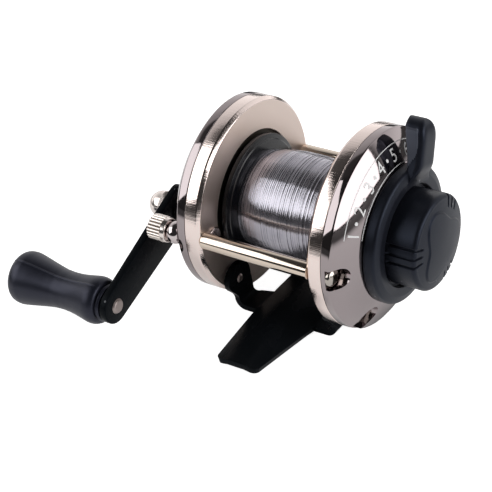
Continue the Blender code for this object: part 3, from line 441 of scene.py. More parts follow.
class Nodes:
    """Small helper to write a node tree. Where it takes a value, it also takes a socket to link."""

    def __init__(self, tree: Tree) -> None:
        """Keep the tree."""
        self.tree = tree

    def fill(self, node: bpy.types.Node, inputs: Inputs) -> None:
        """Set or link inputs of a node.

        Args:
            node: Node of the tree.
            inputs: Values by the name or number of the input.
        """
        for key, value in inputs.items():
            if isinstance(value, Socket):
                self.tree.links.new(value, node.inputs[key])
            else:
                node.inputs[key].default_value = value

    def add(self, kind: str, inputs: Inputs | None = None, **properties: object) -> bpy.types.Node:
        """Add a node.

        Args:
            kind: Type of the node.
            inputs: Values by the name or number of the input.
            **properties: Properties, which are set before the inputs.

        Returns:
            The new node.
        """
        node = self.tree.nodes.new(kind)
        for key, value in properties.items():
            setattr(node, key, value)
        self.fill(node, inputs or {})
        return node

    def math(self, operation: str, *values: object) -> Socket:
        """Result of a math node."""
        return self.add("ShaderNodeMath", dict(enumerate(values)), operation=operation).outputs["Value"]

    def vector(self, operation: str, output: str, *values: object) -> Socket:
        """One output of a vector math node."""
        node = self.add("ShaderNodeVectorMath", dict(enumerate(values)), operation=operation)
        return node.outputs[output]

    def blend(self, factor: object, first: object, second: object, kind: str = "RGBA") -> Socket:
        """Mix of two colours, or of two numbers where the kind is FLOAT."""
        node = self.add("ShaderNodeMix", {"Factor": factor, "A": first, "B": second}, data_type=kind)
        return node.outputs["Result"]

    def ranged(
        self, value: Socket, source: Spot, target: Spot = (0.0, 1.0), curve: str = "SMOOTHSTEP"
    ) -> Socket:
        """Number carried from one range to another.

        Args:
            value: The number.
            source: Range that it comes from.
            target: Range that it goes to.
            curve: How it goes from the one to the other.

        Returns:
            The new number.
        """
        ends = {"From Min": source[0], "From Max": source[1], "To Min": target[0], "To Max": target[1]}
        node = self.add("ShaderNodeMapRange", {"Value": value, **ends}, interpolation_type=curve)
        return node.outputs["Result"]


def group_tree(name: str, inputs: dict[str, float], outputs: Sequence[str]) -> Nodes:
    """Empty shader node group whose sockets are numbers.

    Args:
        name: Name of the group.
        inputs: Default value of each input by its name.
        outputs: Names of the outputs.

    Returns:
        A helper for the group's tree.
    """
    tree = bpy.data.node_groups.new(name, "ShaderNodeTree")
    for label, value in inputs.items():
        socket = tree.interface.new_socket(name=label, in_out="INPUT", socket_type="NodeSocketFloat")
        socket.default_value = value
    for label in outputs:
        tree.interface.new_socket(name=label, in_out="OUTPUT", socket_type="NodeSocketFloat")
    return Nodes(tree)


def surface_marks_group() -> Tree:
    """Group with a soft cloud, fine grain and dust specks, worked out on Object coordinates.

    Returns:
        The group.
    """
    scales = {"Cloud Scale": 90.0, "Grain Scale": 2600.0, "Speck Scale": 420.0, "Speck Size": 0.12}
    specks_left_out = 0.86
    nodes = group_tree("surface_marks", scales, ("Cloud", "Grain", "Speck"))
    given = nodes.add("NodeGroupInput").outputs
    spot = nodes.add("ShaderNodeTexCoord").outputs["Object"]
    marks: Inputs = {}
    for label, detail in (("Cloud", 4.0), ("Grain", 2.0)):
        inputs = {"Vector": spot, "Scale": given[label + " Scale"], "Detail": detail}
        marks[label] = nodes.add("ShaderNodeTexNoise", inputs).outputs["Fac"]
    cells = nodes.add("ShaderNodeTexVoronoi", {"Vector": spot, "Scale": given["Speck Scale"]}).outputs
    chance = nodes.add("ShaderNodeSeparateColor", {"Color": cells["Color"]}).outputs["Red"]
    near = nodes.math("LESS_THAN", cells["Distance"], given["Speck Size"])
    marks["Speck"] = nodes.math("MULTIPLY", near, nodes.math("GREATER_THAN", chance, specks_left_out))
    nodes.add("NodeGroupOutput", marks)
    return nodes.tree


def grinding_group() -> Tree:
    """Group with fine lines across a turned band, from the piece's UV map.

    Returns:
        The group.
    """
    nodes = group_tree("grinding_lines", {"Around": 900.0, "Along": 3.0}, ["Lines"])
    given = nodes.add("NodeGroupInput").outputs
    spot = nodes.add("ShaderNodeTexCoord").outputs["UV"]
    parts = nodes.add("ShaderNodeSeparateXYZ", {"Vector": spot}).outputs
    pairs = {"X": "Around", "Y": "Along"}
    stretched = {axis: nodes.math("MULTIPLY", parts[axis], given[label]) for axis, label in pairs.items()}
    whole = nodes.add("ShaderNodeCombineXYZ", stretched).outputs["Vector"]
    noise = nodes.add("ShaderNodeTexNoise", {"Vector": whole, "Scale": 1.0, "Detail": 3.0})
    nodes.add("NodeGroupOutput", {"Lines": noise.outputs["Fac"]})
    return nodes.tree


@dataclass(frozen=True)
class Finish:
    """A surface finish, as the values of one material."""

    name: str
    slot: str
    colour: Triple
    second: Triple
    roughness: Spot
    metallic: float = 0.0
    specular: float = 0.5
    specular_tint: Triple = (1.0, 1.0, 1.0)
    anisotropy: float = 0.0
    brush_turn: float = 0.25
    cloud_scale: float = 90.0
    cloud_range: Spot = (0.3, 0.7)
    grain_scale: float = 2600.0
    grain_bump: float = 0.0
    grain_depth: float = 0.02
    speck: float = 0.0
    speck_colour: Triple = (0.35, 0.36, 0.38)
    line_bump: float = 0.0
    lines_around: float = 900.0
    lines_along: float = 3.0

    def material(self, marks: Tree, grinding: Tree) -> Material:
        """Build the material: a colour cloud, roughness from the cloud, specks and bump.

        Args:
            marks: Group with cloud, grain and specks.
            grinding: Group with fine lines.

        Returns:
            The new material.
        """
        material = bpy.data.materials.new(self.name)
        material.use_nodes = True
        nodes = Nodes(material.node_tree)
        shader = material.node_tree.nodes["Principled BSDF"]
        scales = {"Cloud Scale": self.cloud_scale, "Grain Scale": self.grain_scale}
        mark = nodes.add("ShaderNodeGroup", scales, node_tree=marks).outputs
        colour = nodes.blend(mark["Cloud"], (*self.colour, 1.0), (*self.second, 1.0))
        if self.speck > 0:
            amount = nodes.math("MULTIPLY", mark["Speck"], self.speck)
            colour = nodes.blend(amount, colour, (*self.speck_colour, 1.0))
        inputs = {
            "Base Color": colour,
            "Roughness": nodes.ranged(mark["Cloud"], self.cloud_range, self.roughness, "LINEAR"),
            "Metallic": self.metallic,
            "Specular IOR Level": self.specular,
            "Specular Tint": (*self.specular_tint, 1.0),
        }
        if self.anisotropy > 0:
            brushed = nodes.add("ShaderNodeTangent", direction_type="RADIAL", axis="X")
            inputs["Anisotropic"] = self.anisotropy
            inputs["Anisotropic Rotation"] = self.brush_turn
            inputs["Tangent"] = brushed.outputs["Tangent"]
        height = mark["Grain"]
        if self.line_bump > 0:
            counts = {"Around": self.lines_around, "Along": self.lines_along}
            height = nodes.add("ShaderNodeGroup", counts, node_tree=grinding).outputs["Lines"]
        strength = self.line_bump or self.grain_bump
        if strength > 0:
            bump = {"Height": height, "Strength": strength, "Distance": self.grain_depth * MM}
            inputs["Normal"] = nodes.add("ShaderNodeBump", bump).outputs["Normal"]
        nodes.fill(shader, inputs)
        return material


FINISHES = (
    Finish("champagne_polished", "champagne_nickel", (0.86, 0.735, 0.69), (0.91, 0.785, 0.74), (0.08, 0.14),
           metallic=1.0, line_bump=0.8, grain_depth=0.03, lines_around=620.0, lines_along=1.5),
    Finish("champagne_satin", "champagne_nickel", (0.75, 0.63, 0.57), (0.81, 0.69, 0.63), (0.36, 0.44),
           metallic=1.0, anisotropy=0.6, grain_bump=0.10, grain_scale=5200.0),
    Finish("champagne_bar", "champagne_nickel", (0.70, 0.60, 0.505), (0.75, 0.65, 0.555), (0.06, 0.10),
           metallic=1.0, line_bump=0.12, grain_depth=0.01, lines_around=6.0, lines_along=260.0),
    Finish("pale_nickel", "champagne_nickel", (0.86, 0.785, 0.745), (0.90, 0.825, 0.785), (0.16, 0.22),
           metallic=1.0),
    Finish("dark_nickel", "dark_nickel", (0.345, 0.30, 0.305), (0.375, 0.33, 0.335), (0.04, 0.08),
           metallic=1.0, grain_bump=0.05, grain_scale=900.0),
    Finish("collar_nickel", "dark_nickel", (0.60, 0.54, 0.54), (0.66, 0.60, 0.60), (0.06, 0.10),
           metallic=1.0),
    Finish("bright_steel", "bright_steel", (0.72, 0.69, 0.66), (0.78, 0.75, 0.72), (0.10, 0.18),
           metallic=1.0, grain_bump=0.1),
    Finish("screw_steel", "bright_steel", (0.42, 0.38, 0.34), (0.50, 0.46, 0.42), (0.10, 0.18),
           metallic=1.0, grain_bump=0.1),
    Finish("rivet_steel", "bright_steel", (0.36, 0.305, 0.29), (0.42, 0.36, 0.345), (0.38, 0.48),
           metallic=1.0, grain_bump=0.3),
    Finish("brass", "brass", (0.72, 0.53, 0.25), (0.66, 0.48, 0.22), (0.25, 0.35),
           metallic=1.0, grain_bump=0.15),
    # Painted shade: near-black brass for the gear plate, which is seen in shade through the gap by the spool.
    Finish("brass_painted_shade", "brass", (0.030, 0.024, 0.018), (0.045, 0.036, 0.025), (0.45, 0.55), metallic=0.6),
    Finish("seam_shadow", "dark_nickel", (0.012, 0.011, 0.011), (0.016, 0.015, 0.015), (0.6, 0.7),
           specular=0.1),
    Finish("black_enamel", "black_paint", (0.0045, 0.0056, 0.0070), (0.0065, 0.0078, 0.0095), (0.22, 0.30),
           specular=0.06, specular_tint=(0.45, 0.52, 0.62), grain_bump=0.10, grain_scale=1500.0, speck=0.5),
    Finish("spool_black", "black_paint", (0.004, 0.0045, 0.007), (0.007, 0.0078, 0.011), (0.18, 0.26),
           specular=0.45, grain_bump=0.06, grain_scale=1800.0, speck=0.2),
    Finish("satin_plastic", "black_plastic", (0.0080, 0.0090, 0.0130), (0.013, 0.0145, 0.020), (0.30, 0.40),
           specular=0.25, specular_tint=(0.62, 0.72, 1.0), grain_bump=0.22, grain_scale=3600.0, speck=0.5),
    Finish("grip_plastic", "black_plastic", (0.0055, 0.0065, 0.0115), (0.009, 0.0105, 0.017), (0.32, 0.42),
           specular=0.52, specular_tint=(0.74, 0.76, 1.0), grain_bump=0.22, grain_scale=3600.0, speck=0.5),
    # Painted sheen: a paler, glossier copy of the satin plastic for the lever's scoop face.
    Finish("scoop_painted_sheen", "black_plastic", (0.085, 0.092, 0.118), (0.10, 0.108, 0.138), (0.45, 0.55),
           specular=0.6, specular_tint=(0.74, 0.82, 1.0), grain_bump=0.22, grain_scale=3600.0),
    Finish("drag_fibre", "drag_fibre", (0.12, 0.09, 0.06), (0.16, 0.12, 0.08), (0.75, 0.85),
           grain_bump=0.5),
    Finish("clear_line", "clear_line", (0.37, 0.36, 0.41), (0.54, 0.525, 0.58), (0.10, 0.18),
           metallic=0.82, cloud_scale=320.0),
    # Painted shade: the inner layers of line are near black, standing in for shade between the strands.
    Finish("line_heart", "clear_line", (0.03, 0.033, 0.04), (0.05, 0.053, 0.06), (0.4, 0.5),
           cloud_scale=260.0),
    Finish("white_print", "black_plastic", (0.84, 0.84, 0.84), (0.90, 0.90, 0.90), (0.40, 0.50),
           grain_bump=0.05),
)


class Shop:
    """Materials by name, and what every piece needs: a body and the nodes it stands for."""

    def __init__(self) -> None:
        """Build every finish once."""
        marks = surface_marks_group()
        grinding = grinding_group()
        self.slots = {finish.name: finish.slot for finish in FINISHES}
        self.made = {finish.name: finish.material(marks, grinding) for finish in FINISHES}

    def __getitem__(self, name: str) -> Material:
        """Material of a finish."""
        return self.made[name]

    def several(self, *names: str) -> list[Material]:
        """Materials of some finishes."""
        return [self.made[name] for name in names]

    def fit(self, piece: Piece, body: Body, finish: str, *nodes: str) -> None:
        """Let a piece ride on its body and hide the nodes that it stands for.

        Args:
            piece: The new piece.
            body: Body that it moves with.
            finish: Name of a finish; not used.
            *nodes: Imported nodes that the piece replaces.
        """
        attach(piece, body.value)
        if nodes:
            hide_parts(*nodes)
        LOG.info("%s rides on %s and replaces %s", piece.name, body.value, ", ".join(nodes) or "nothing")

    def make(self, surface: Surface, node: str, body: Body, *finishes: str, sharp: float = 40.0) -> None:
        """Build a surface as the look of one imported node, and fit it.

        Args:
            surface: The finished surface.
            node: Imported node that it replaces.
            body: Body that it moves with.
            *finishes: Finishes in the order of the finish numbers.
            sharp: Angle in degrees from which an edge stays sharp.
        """
        piece = surface.build(node + "_look", self.several(*finishes), sharp)
        self.fit(piece, body, finishes[0], node)


# Places shared by several pieces
PLATE_RADIUS = 24.0
SEAM = 18.3
INNER_FACE = 14.4
FRONT_SPOT = (-22.0, 0.0)
REAR_SPOT = (22.0, 0.0)
FRONT_EAR = (-12.3, -16.3)
REAR_EAR = (12.3, -16.3)
DIAL_FACE = 24.6
DIAL_BACK = DIAL_FACE + 0.1
HANDLE_FACE = 25.2
DRIVE_SPOT = (-6.6, -5.2766)
CRANK_RADIUS = 30.4
CRANK_DROP = math.radians(21.0)
KNOB_SPOT = (
    DRIVE_SPOT[0] - CRANK_RADIUS * math.cos(CRANK_DROP),
    DRIVE_SPOT[1] - CRANK_RADIUS * math.sin(CRANK_DROP),
)
ARM_FACE = 32.9
ARM_THICKNESS = 2.0


def spot_centre(spot: Spot) -> Spot:
    """Y and Z in metres of an axis given in millimetres from the axle."""
    return spot[0] * MM, spot[1] * MM + AXLE_HEIGHT


def sided(corners: Sequence[Triple], side: Side) -> list[Triple]:
    """Profile corners with the place along X given its side's sign."""
    return [(side.value * place, radius, fillet) for place, radius, fillet in corners]


def rod(start: float, end: float, radius: float, first: float, last: float) -> list[Triple]:
    """Profile corners of a round bar with a fillet at its first and at its last edge."""
    return [(start, 0.0, 0.0), (start, radius, first), (end, radius, last), (end, 0.0, 0.0)]


@dataclass
class FrameBody:
    """Two rings and the pillars between them."""

    shop: Shop
    opening: float = 16.0
    recess: float = 18.6
    ledge: float = 15.2
    bevel: float = 0.8
    pillar_radius: float = 2.0
    pillar_edge: float = 0.12
    pillar_gap: float = 0.05
    pad_radius: float = 2.5
    pad_height: float = 0.7
    pad_root: float = 0.3
    pad_edge: float = 0.6
    pad_spots: tuple[Spot, Spot] = ((-18.6, -1.1), (18.6, -1.1))

    def ring(self, side: Side, node: str) -> None:
        """Ring with a satin inner face, polished rim and a round pad beside each pillar.

        Args:
            side: Side of the reel.
            node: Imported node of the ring.
        """
        corners = [
            (INNER_FACE, self.opening, 0.3),
            (INNER_FACE, PLATE_RADIUS - self.bevel, 0.3),
            (INNER_FACE + self.bevel, PLATE_RADIUS, 0.6),
            (SEAM, PLATE_RADIUS, 0.15),
            (SEAM, self.recess, 0.0),
            (self.ledge, self.recess, 0.0),
            (self.ledge, self.opening, 0.2),
        ]
        profile = rounded(sided(corners, side), steps=8)
        place, _ = stretches(profile)
        inner = np.abs(place - INNER_FACE * MM) < FLAT
        finish = np.where(inner, 1, np.where(place > SEAM * MM - FLAT, 2, 0))
        materials = self.shop.several("champagne_polished", "champagne_satin", "seam_shadow")
        piece = turned(profile, segments=192, finish=finish).build(node + "_look", materials)
        start = INNER_FACE - self.pad_height
        bar = rod(start, INNER_FACE + self.pad_root, self.pad_radius, self.pad_edge, 0.0)
        pad = rounded(sided(bar, side), closed=False)
        for spot in self.pad_spots:
            tool = turned(pad, spot_centre(spot), 48, closed=False)
            boolean(piece, tool.build("pad", materials), Join.ADD, sharp=40.0)
        self.shop.fit(piece, Body.FRAME, "champagne_polished", node)

    def pillar(self, spot: Spot, node: str) -> None:
        """Polished bar between the rings.

        Args:
            spot: Y and Z of the bar.
            node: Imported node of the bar.
        """
        end = INNER_FACE - self.pillar_gap
        bar = rod(-end, end, self.pillar_radius, self.pillar_edge, self.pillar_edge)
        surface = turned(rounded(bar, closed=False), spot_centre(spot), 64, closed=False)
        self.shop.make(surface, node, Body.FRAME, "champagne_bar")

    def build(self) -> None:
        """Make every piece of the frame."""
        self.ring(Side.HANDLE, "handle_side_ring")
        self.ring(Side.DIAL, "dial_side_ring")
        self.pillar(FRONT_SPOT, "front_pillar")
        self.pillar(REAR_SPOT, "rear_pillar")


@dataclass
class Foot:
    """Stamped sheet foot: arched base and blades, and four ears bent up against the rings.

    Heights are counted from the rod seat.
    """

    shop: Shop
    length: float = 69.2
    sheet: float = 1.4
    tip_half: float = 5.45
    base_half: float = 8.1
    base_end: float = 13.3
    ear_start: float = 7.2
    corner: float = 1.6
    arch_radius: float = 20.6
    seat_half: float = 2.1
    bend: float = 2.2
    ear_gap: float = 0.1
    ear_half_width: float = 4.5
    ear_half_height: float = 4.0
    ear_spot: Spot = (12.3, 7.0)
    ear_top: float = math.radians(84.0)
    notch: float = 2.0
    edge: float = 0.28

    def height(self, x: Array | float) -> Array:
        """Height of the sheet's middle: flat on the seat, then falling with the square of X."""
        return self.sheet / 2 - np.maximum(0.0, x**2 - self.seat_half**2) / (2 * self.arch_radius)

    def half_width(self, y: Array) -> Array:
        """Half width of the plan: base, straight taper and a rounded tip corner.

        Args:
            y: Places along the rod.

        Returns:
            Half widths.
        """
        place = np.abs(y)
        tip = self.length / 2
        share = np.clip((place - self.base_end) / (tip - self.base_end), 0.0, 1.0)
        width = self.base_half + (self.tip_half - self.base_half) * share
        into = np.clip(place - (tip - self.corner), 0.0, self.corner)
        return width - (self.corner - np.sqrt(np.maximum(self.corner**2 - into**2, 0.0)))

    def plan_rows(self) -> Array:
        """Places along Y of the rows of the base and the blades.

        Returns:
            The places, from the front to the rear.
        """
        tip = self.length / 2
        root = self.ear_start - self.notch
        corner = tip - self.corner * (1 - np.sin(np.linspace(0.0, math.pi / 2, 9)))
        taper = np.linspace(self.base_end, tip - self.corner, 9)[1:-1]
        ear = np.linspace(root, self.base_end, 13)
        inner = np.linspace(0.0, root, 5)[1:-1]
        half = np.concatenate([inner, ear, taper, corner])
        return np.concatenate([-half[::-1], [0.0], half])

    def ear(self, across: int, along: int) -> Array:
        """Grid of one ear: rows follow the bend and the upright, columns run across its width.

        The bend is a quarter circle, the root flares by a quarter ellipse into the base, and the top is
        half an ellipse about the screw.

        Args:
            across: Sign of X.
            along: Sign of Y.

        Returns:
            Points in metres.
        """
        low = self.height(self.base_half)
        bent = low + self.bend
        upright = INNER_FACE - self.ear_gap - self.sheet / 2
        spot_y, spot_z = self.ear_spot
        turn = np.linspace(0.0, math.pi / 2, 9)
        rise = np.linspace(0.0, 1.0, 7)[1:]
        top = np.linspace(0.0, self.ear_top, 13)[1:]
        bend_x = upright - self.bend + self.bend * np.sin(turn)
        bend_z = low + self.bend * (1 - np.cos(turn))
        x = np.concatenate([[self.base_half], bend_x, np.full(len(rise) + len(top), upright)])
        rise_z = bent + (spot_z - bent) * rise
        z = np.concatenate([[low], bend_z, rise_z, spot_z + self.ear_half_height * np.sin(top)])
        flare = np.linspace(0.0, 1.0, len(turn) + 1)
        inner_root = self.ear_start - self.notch * (1 - np.sqrt(np.maximum(0.0, 1 - (1 - flare) ** 2)))
        middle = (self.ear_start + self.base_end) / 2
        neck = (self.base_end - self.ear_start) / 2
        ease = 0.5 - 0.5 * np.cos(math.pi * rise)
        rise_centre = middle + (spot_y - middle) * ease
        rise_half = neck + (self.ear_half_width - neck) * ease
        root_centre = (inner_root + self.base_end) / 2
        root_half = (self.base_end - inner_root) / 2
        centre = np.concatenate([root_centre, rise_centre, np.full(len(top), spot_y)])
        half = np.concatenate([root_half, rise_half, self.ear_half_width * np.cos(top)])
        y = along * (centre[:, None] + half[:, None] * np.linspace(-1.0, 1.0, 13))
        return np.stack(np.broadcast_arrays(across * x[:, None], y, z[:, None]), -1) * MM

    def build(self) -> None:
        """Make the foot as one sheet with thickness and rounded edges."""
        rows = self.plan_rows()
        x = self.half_width(rows)[:, None] * np.linspace(-1.0, 1.0, 25)
        plan = np.stack(np.broadcast_arrays(x, rows[:, None], self.height(x)), -1) * MM
        surface = Surface().grid(plan, wrap_columns=False)
        for across in (-1, 1):
            for along in (-1, 1):
                surface.grid(self.ear(across, along), wrap_columns=False)
        piece = surface.build("reel_foot_look", [self.shop["black_enamel"]], sharp=60.0)
        sheet = piece.modifiers.new("sheet", "SOLIDIFY")
        sheet.thickness = self.sheet * MM
        sheet.offset = 0.0
        sheet.use_even_offset = True
        sheet.use_quality_normals = True
        edge = piece.modifiers.new("edge", "BEVEL")
        edge.width = self.edge * MM
        edge.segments = 3
        edge.limit_method = "ANGLE"
        edge.angle_limit = math.radians(50)
        piece.modifiers.new("normals", "WEIGHTED_NORMAL")
        self.shop.fit(piece, Body.FRAME, "black_enamel", "reel_foot")


@dataclass
class Covers:
    """Dished covers with screw pockets, their screws and the printed scale."""

    shop: Shop
    seam: float = SEAM + 0.1
    rim_end: float = 20.5
    crease: Spot = (20.8, 23.6)
    face_radius: float = 16.5
    bulge: float = 0.35
    cavity: float = 17.4
    wall: float = 1.3
    hub_hole: float = 8.6
    pocket: Spot = (2.6, 19.5)
    thumb_pocket: Spot = (3.1, 20.6)
    cut_length: float = 14.0
    cut_height: float = 12.0
    head_gap: float = 0.05
    head_radius: float = 2.2
    head_height: float = 1.4
    screw_radius: float = 1.1
    screw_bevel: float = 0.35
    pillar_screw: float = 9.0
    ear_screw: float = 12.5
    slot_half: Spot = (1.35, 0.24)
    slot_depth: float = 0.75
    slot_turn: float = 0.6
    scale_radii: Spot = (17.0, 21.4)
    scale_turn: Spot = (24.0, 152.0)
    line_width: float = 0.16
    print_height: float = 0.03
    print_root: float = 0.02
    digits: str = "1234567"
    digit_size: float = 3.1 * 1.38
    dot_size: float = 3.1 * 1.1
    digit_stretch: float = 0.95
    first_digit: float = 27.0
    digit_step: float = 17.0

    def shoulder(self, face: float, share: Array) -> Array:
        """Points of the shoulder: a straight chord from crease to face, lifted by a parabola.

        Args:
            face: Place of the cover's face.
            share: Values from 0 at the crease to 1 at the face.

        Returns:
            Points (place, radius).
        """
        outer = np.array(self.crease)
        chord = np.array([face, self.face_radius]) - outer
        out = np.array([-chord[1], chord[0]]) / np.linalg.norm(chord)
        lift = 4 * self.bulge * share * (1 - share)
        return outer + share[:, None] * chord + lift[:, None] * out

    def profile(self, side: Side, face: float, hole: float) -> Array:
        """Profile of a cover, which is closed where the face has a hole.

        Args:
            side: Side of the reel.
            face: Place of the cover's face.
            hole: Radius of the hole, or 0 for a blank face.

        Returns:
            Points (place, radius) in metres.
        """
        inner = face - self.wall
        arc = self.shoulder(face, np.linspace(0.0, 1.0, 25))
        lead = [
            (inner, hole, 0.0),
            (inner, self.cavity - 1, 0.5),
            (inner - 1, self.cavity, 0.5),
            (self.seam, self.cavity, 0.0),
            (self.seam, PLATE_RADIUS, 0.12),
            (self.rim_end, PLATE_RADIUS, 0.5),
            (*self.crease, 0.0),
        ]
        tail = [(*arc[-1], 0.0), (face, hole + 0.01, 0.15), (face, hole, 0.0)]
        ends = [rounded(corners, closed=False) for corners in (lead, tail)]
        return np.concatenate([ends[0], arc[1:] * MM, ends[1][1:]]) * np.array([side.value, 1.0])

    def pocket_tool(self, side: Side, spot: Spot, radius: float, floor: float) -> Piece:
        """Cutter of a pocket: a half circle towards the axle and straight sides outwards.

        Args:
            side: Side of the reel.
            spot: Y and Z of the pocket's middle.
            radius: Radius of the half circle.
            floor: Place of the pocket's floor.

        Returns:
            The cutter.
        """
        out = np.array(spot) / math.hypot(*spot)
        turn = np.linspace(0.0, math.pi, 17)
        along = np.concatenate([-np.sin(turn) * radius, [self.cut_length, self.cut_length]])
        across = np.concatenate([np.cos(turn) * radius, [-radius, radius]])
        places = (side.value * floor, side.value * (floor + self.cut_height))
        return prism(directed(spot, out, along, across), places).build("pocket", [self.shop["dark_nickel"]])

    def cover(self, side: Side, face: float, hole: float, node: str) -> None:
        """One cover with its pockets cut.

        Args:
            side: Side of the reel.
            face: Place of the cover's face.
            hole: Radius of the hole, or 0 for a blank face.
            node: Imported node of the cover.
        """
        profile = self.profile(side, face, hole)
        closed = hole > 0
        place, radius = stretches(profile)
        inside = (radius < self.cavity * MM + FLAT) & (place < (face - self.wall) * MM + FLAT)
        shadow = (inside | (place < self.seam * MM + FLAT)).astype(int)
        surface = turned(profile, segments=192, closed=closed, finish=shadow if closed else shadow[:-1])
        piece = surface.build(node + "_look", self.shop.several("dark_nickel", "seam_shadow"))
        pockets = [(spot, self.pocket) for spot in (REAR_SPOT, FRONT_EAR, REAR_EAR)]
        if side is Side.DIAL:
            pockets.append((FRONT_SPOT, self.pocket))
        else:
            pockets.insert(0, (FRONT_SPOT, self.thumb_pocket))
        for spot, size in pockets:
            boolean(piece, self.pocket_tool(side, spot, *size))
        self.shop.fit(piece, Body.FRAME, "dark_nickel", node)

    def screw(self, side: Side, spot: Spot, end: float, node: str) -> None:
        """Screw with a rounded head and a cross recess, and a bevelled end in a satin finish.

        Args:
            side: Side of the reel.
            spot: Y and Z of the screw.
            end: Place of its end.
            node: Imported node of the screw.
        """
        under = self.pocket[1] + self.head_gap
        top = under + self.head_height
        corners = [
            (end, 0.0, 0.0),
            (end, self.screw_radius - self.screw_bevel, 0.0),
            (end + self.screw_bevel, self.screw_radius, 0.0),
            (under, self.screw_radius, 0.0),
            (under, self.head_radius, 0.15),
            (top - 0.5, self.head_radius, 0.5),
            (top, self.head_radius * 0.55, 0.6),
            (top, 0.0, 0.0),
        ]
        profile = rounded(sided(corners, side), closed=False)
        materials = self.shop.several("screw_steel", "rivet_steel")
        tail = np.abs(profile[:-1, 0]) < (end + self.screw_bevel) * MM - FLAT
        surface = turned(profile, spot_centre(spot), 40, closed=False, finish=tail.astype(int))
        piece = surface.build(node + "_look", materials)
        along = np.array([-1, 1, 1, -1]) * self.slot_half[0]
        across = np.array([-1, -1, 1, 1]) * self.slot_half[1]
        places = (side.value * (top - self.slot_depth), side.value * (top + 1.0))
        for turn in (self.slot_turn, self.slot_turn + math.pi / 2):
            slot = prism(directed(spot, direction(turn), along, across), places)
            boolean(piece, slot.build("slot", materials))
        self.shop.fit(piece, Body.FRAME, "screw_steel", node)

    def on_shoulder(self, turn: Array, radius: Array, lift: Array) -> Array:
        """Points on the dial cover's shoulder.

        Args:
            turn: Angles above the front.
            radius: Distances from the axle.
            lift: Heights off the shoulder.

        Returns:
            Points in metres.
        """
        arc = self.shoulder(DIAL_FACE, np.linspace(0.0, 1.0, 400))
        slope = np.gradient(arc[:, 0], arc[:, 1])
        place = np.interp(-radius, -arc[:, 1], arc[:, 0])
        lean = np.interp(-radius, -arc[:, 1], slope)
        size = np.sqrt(1 + lean**2)
        out = radius - lift * lean / size
        return raised(place + lift / size, -out * np.cos(turn), out * np.sin(turn))

    def arc_line(self, radius: float) -> Surface:
        """Printed arc: a flat four-sided section carried round the shoulder.

        Args:
            radius: Distance of the arc from the axle.

        Returns:
            The surface.
        """
        turn = np.radians(np.linspace(*self.scale_turn, 120))
        radii = radius + np.array([-1, 1, 1, -1]) * self.line_width / 2
        lifts = np.array([-self.print_root, -self.print_root, self.print_height, self.print_height])
        return Surface().tube(self.on_shoulder(turn[:, None], radii, lifts))

    def digit(self, text: str, turn: float, size: float) -> None:
        """A plain number or a dot laid on the shoulder, read from outside the dial.

        Args:
            text: The sign.
            turn: Angle above the front, in degrees.
            size: Size of the letters.
        """
        data = bpy.data.curves.new("digit", "FONT")
        data.body = text
        data.size = size
        data.extrude = (self.print_height + self.print_root) / 2
        data.align_x = "CENTER"
        data.align_y = "CENTER"
        letter = linked("digit", data)
        mesh = baked(letter)
        bpy.data.objects.remove(letter, do_unlink=True)
        work = bmesh.new()
        work.from_mesh(mesh)
        for axis in ((1.0, 0.0, 0.0), (0.0, 1.0, 0.0)):
            for level in np.arange(-0.5, 0.51, 0.06) * size:
                whole = work.verts[:] + work.edges[:] + work.faces[:]
                bmesh.ops.bisect_plane(work, geom=whole, plane_co=Vector(axis) * level, plane_no=axis)
        work.to_mesh(mesh)
        work.free()
        flat = np.empty(len(mesh.vertices) * 3)
        mesh.vertices.foreach_get("co", flat)
        flat = flat.reshape(-1, 3)
        middle = sum(self.scale_radii) / 2
        angle = math.radians(turn) + flat[:, 0] / middle
        lift = flat[:, 2] + (self.print_height - self.print_root) / 2
        points = self.on_shoulder(angle, middle + flat[:, 1] * self.digit_stretch, lift)
        mesh.vertices.foreach_set("co", points.ravel())
        smoothed(mesh, 30.0)
        mesh.materials.clear()
        mesh.materials.append(self.shop["white_print"])
        self.shop.fit(linked("scale_mark_" + str(int(turn)), mesh), Body.FRAME, "white_print")

    def scale(self) -> None:
        """White arcs with plain numbers and dots between them."""
        for number, radius in enumerate(self.scale_radii):
            arc = self.arc_line(radius).build("scale_arc_" + str(number), [self.shop["white_print"]])
            self.shop.fit(arc, Body.FRAME, "white_print")
        for index, text in enumerate(self.digits):
            turn = self.first_digit + index * self.digit_step
            self.digit(text, turn, self.digit_size)
            if index + 1 < len(self.digits):
                self.digit("•", turn + self.digit_step / 2, self.dot_size)

    def build(self) -> None:
        """Make covers, screws and scale."""
        self.cover(Side.HANDLE, HANDLE_FACE, 0.0, "handle_side_cover")
        self.cover(Side.DIAL, DIAL_FACE, self.hub_hole, "dial_side_cover")
        for side, name in ((Side.HANDLE, "handle_screw_"), (Side.DIAL, "dial_screw_")):
            self.screw(side, REAR_SPOT, self.pillar_screw, name + "rear")
            self.screw(side, FRONT_EAR, self.ear_screw, name + "foot_front")
            self.screw(side, REAR_EAR, self.ear_screw, name + "foot_rear")
        self.screw(Side.DIAL, FRONT_SPOT, self.pillar_screw, "dial_screw_front")
        self.scale()


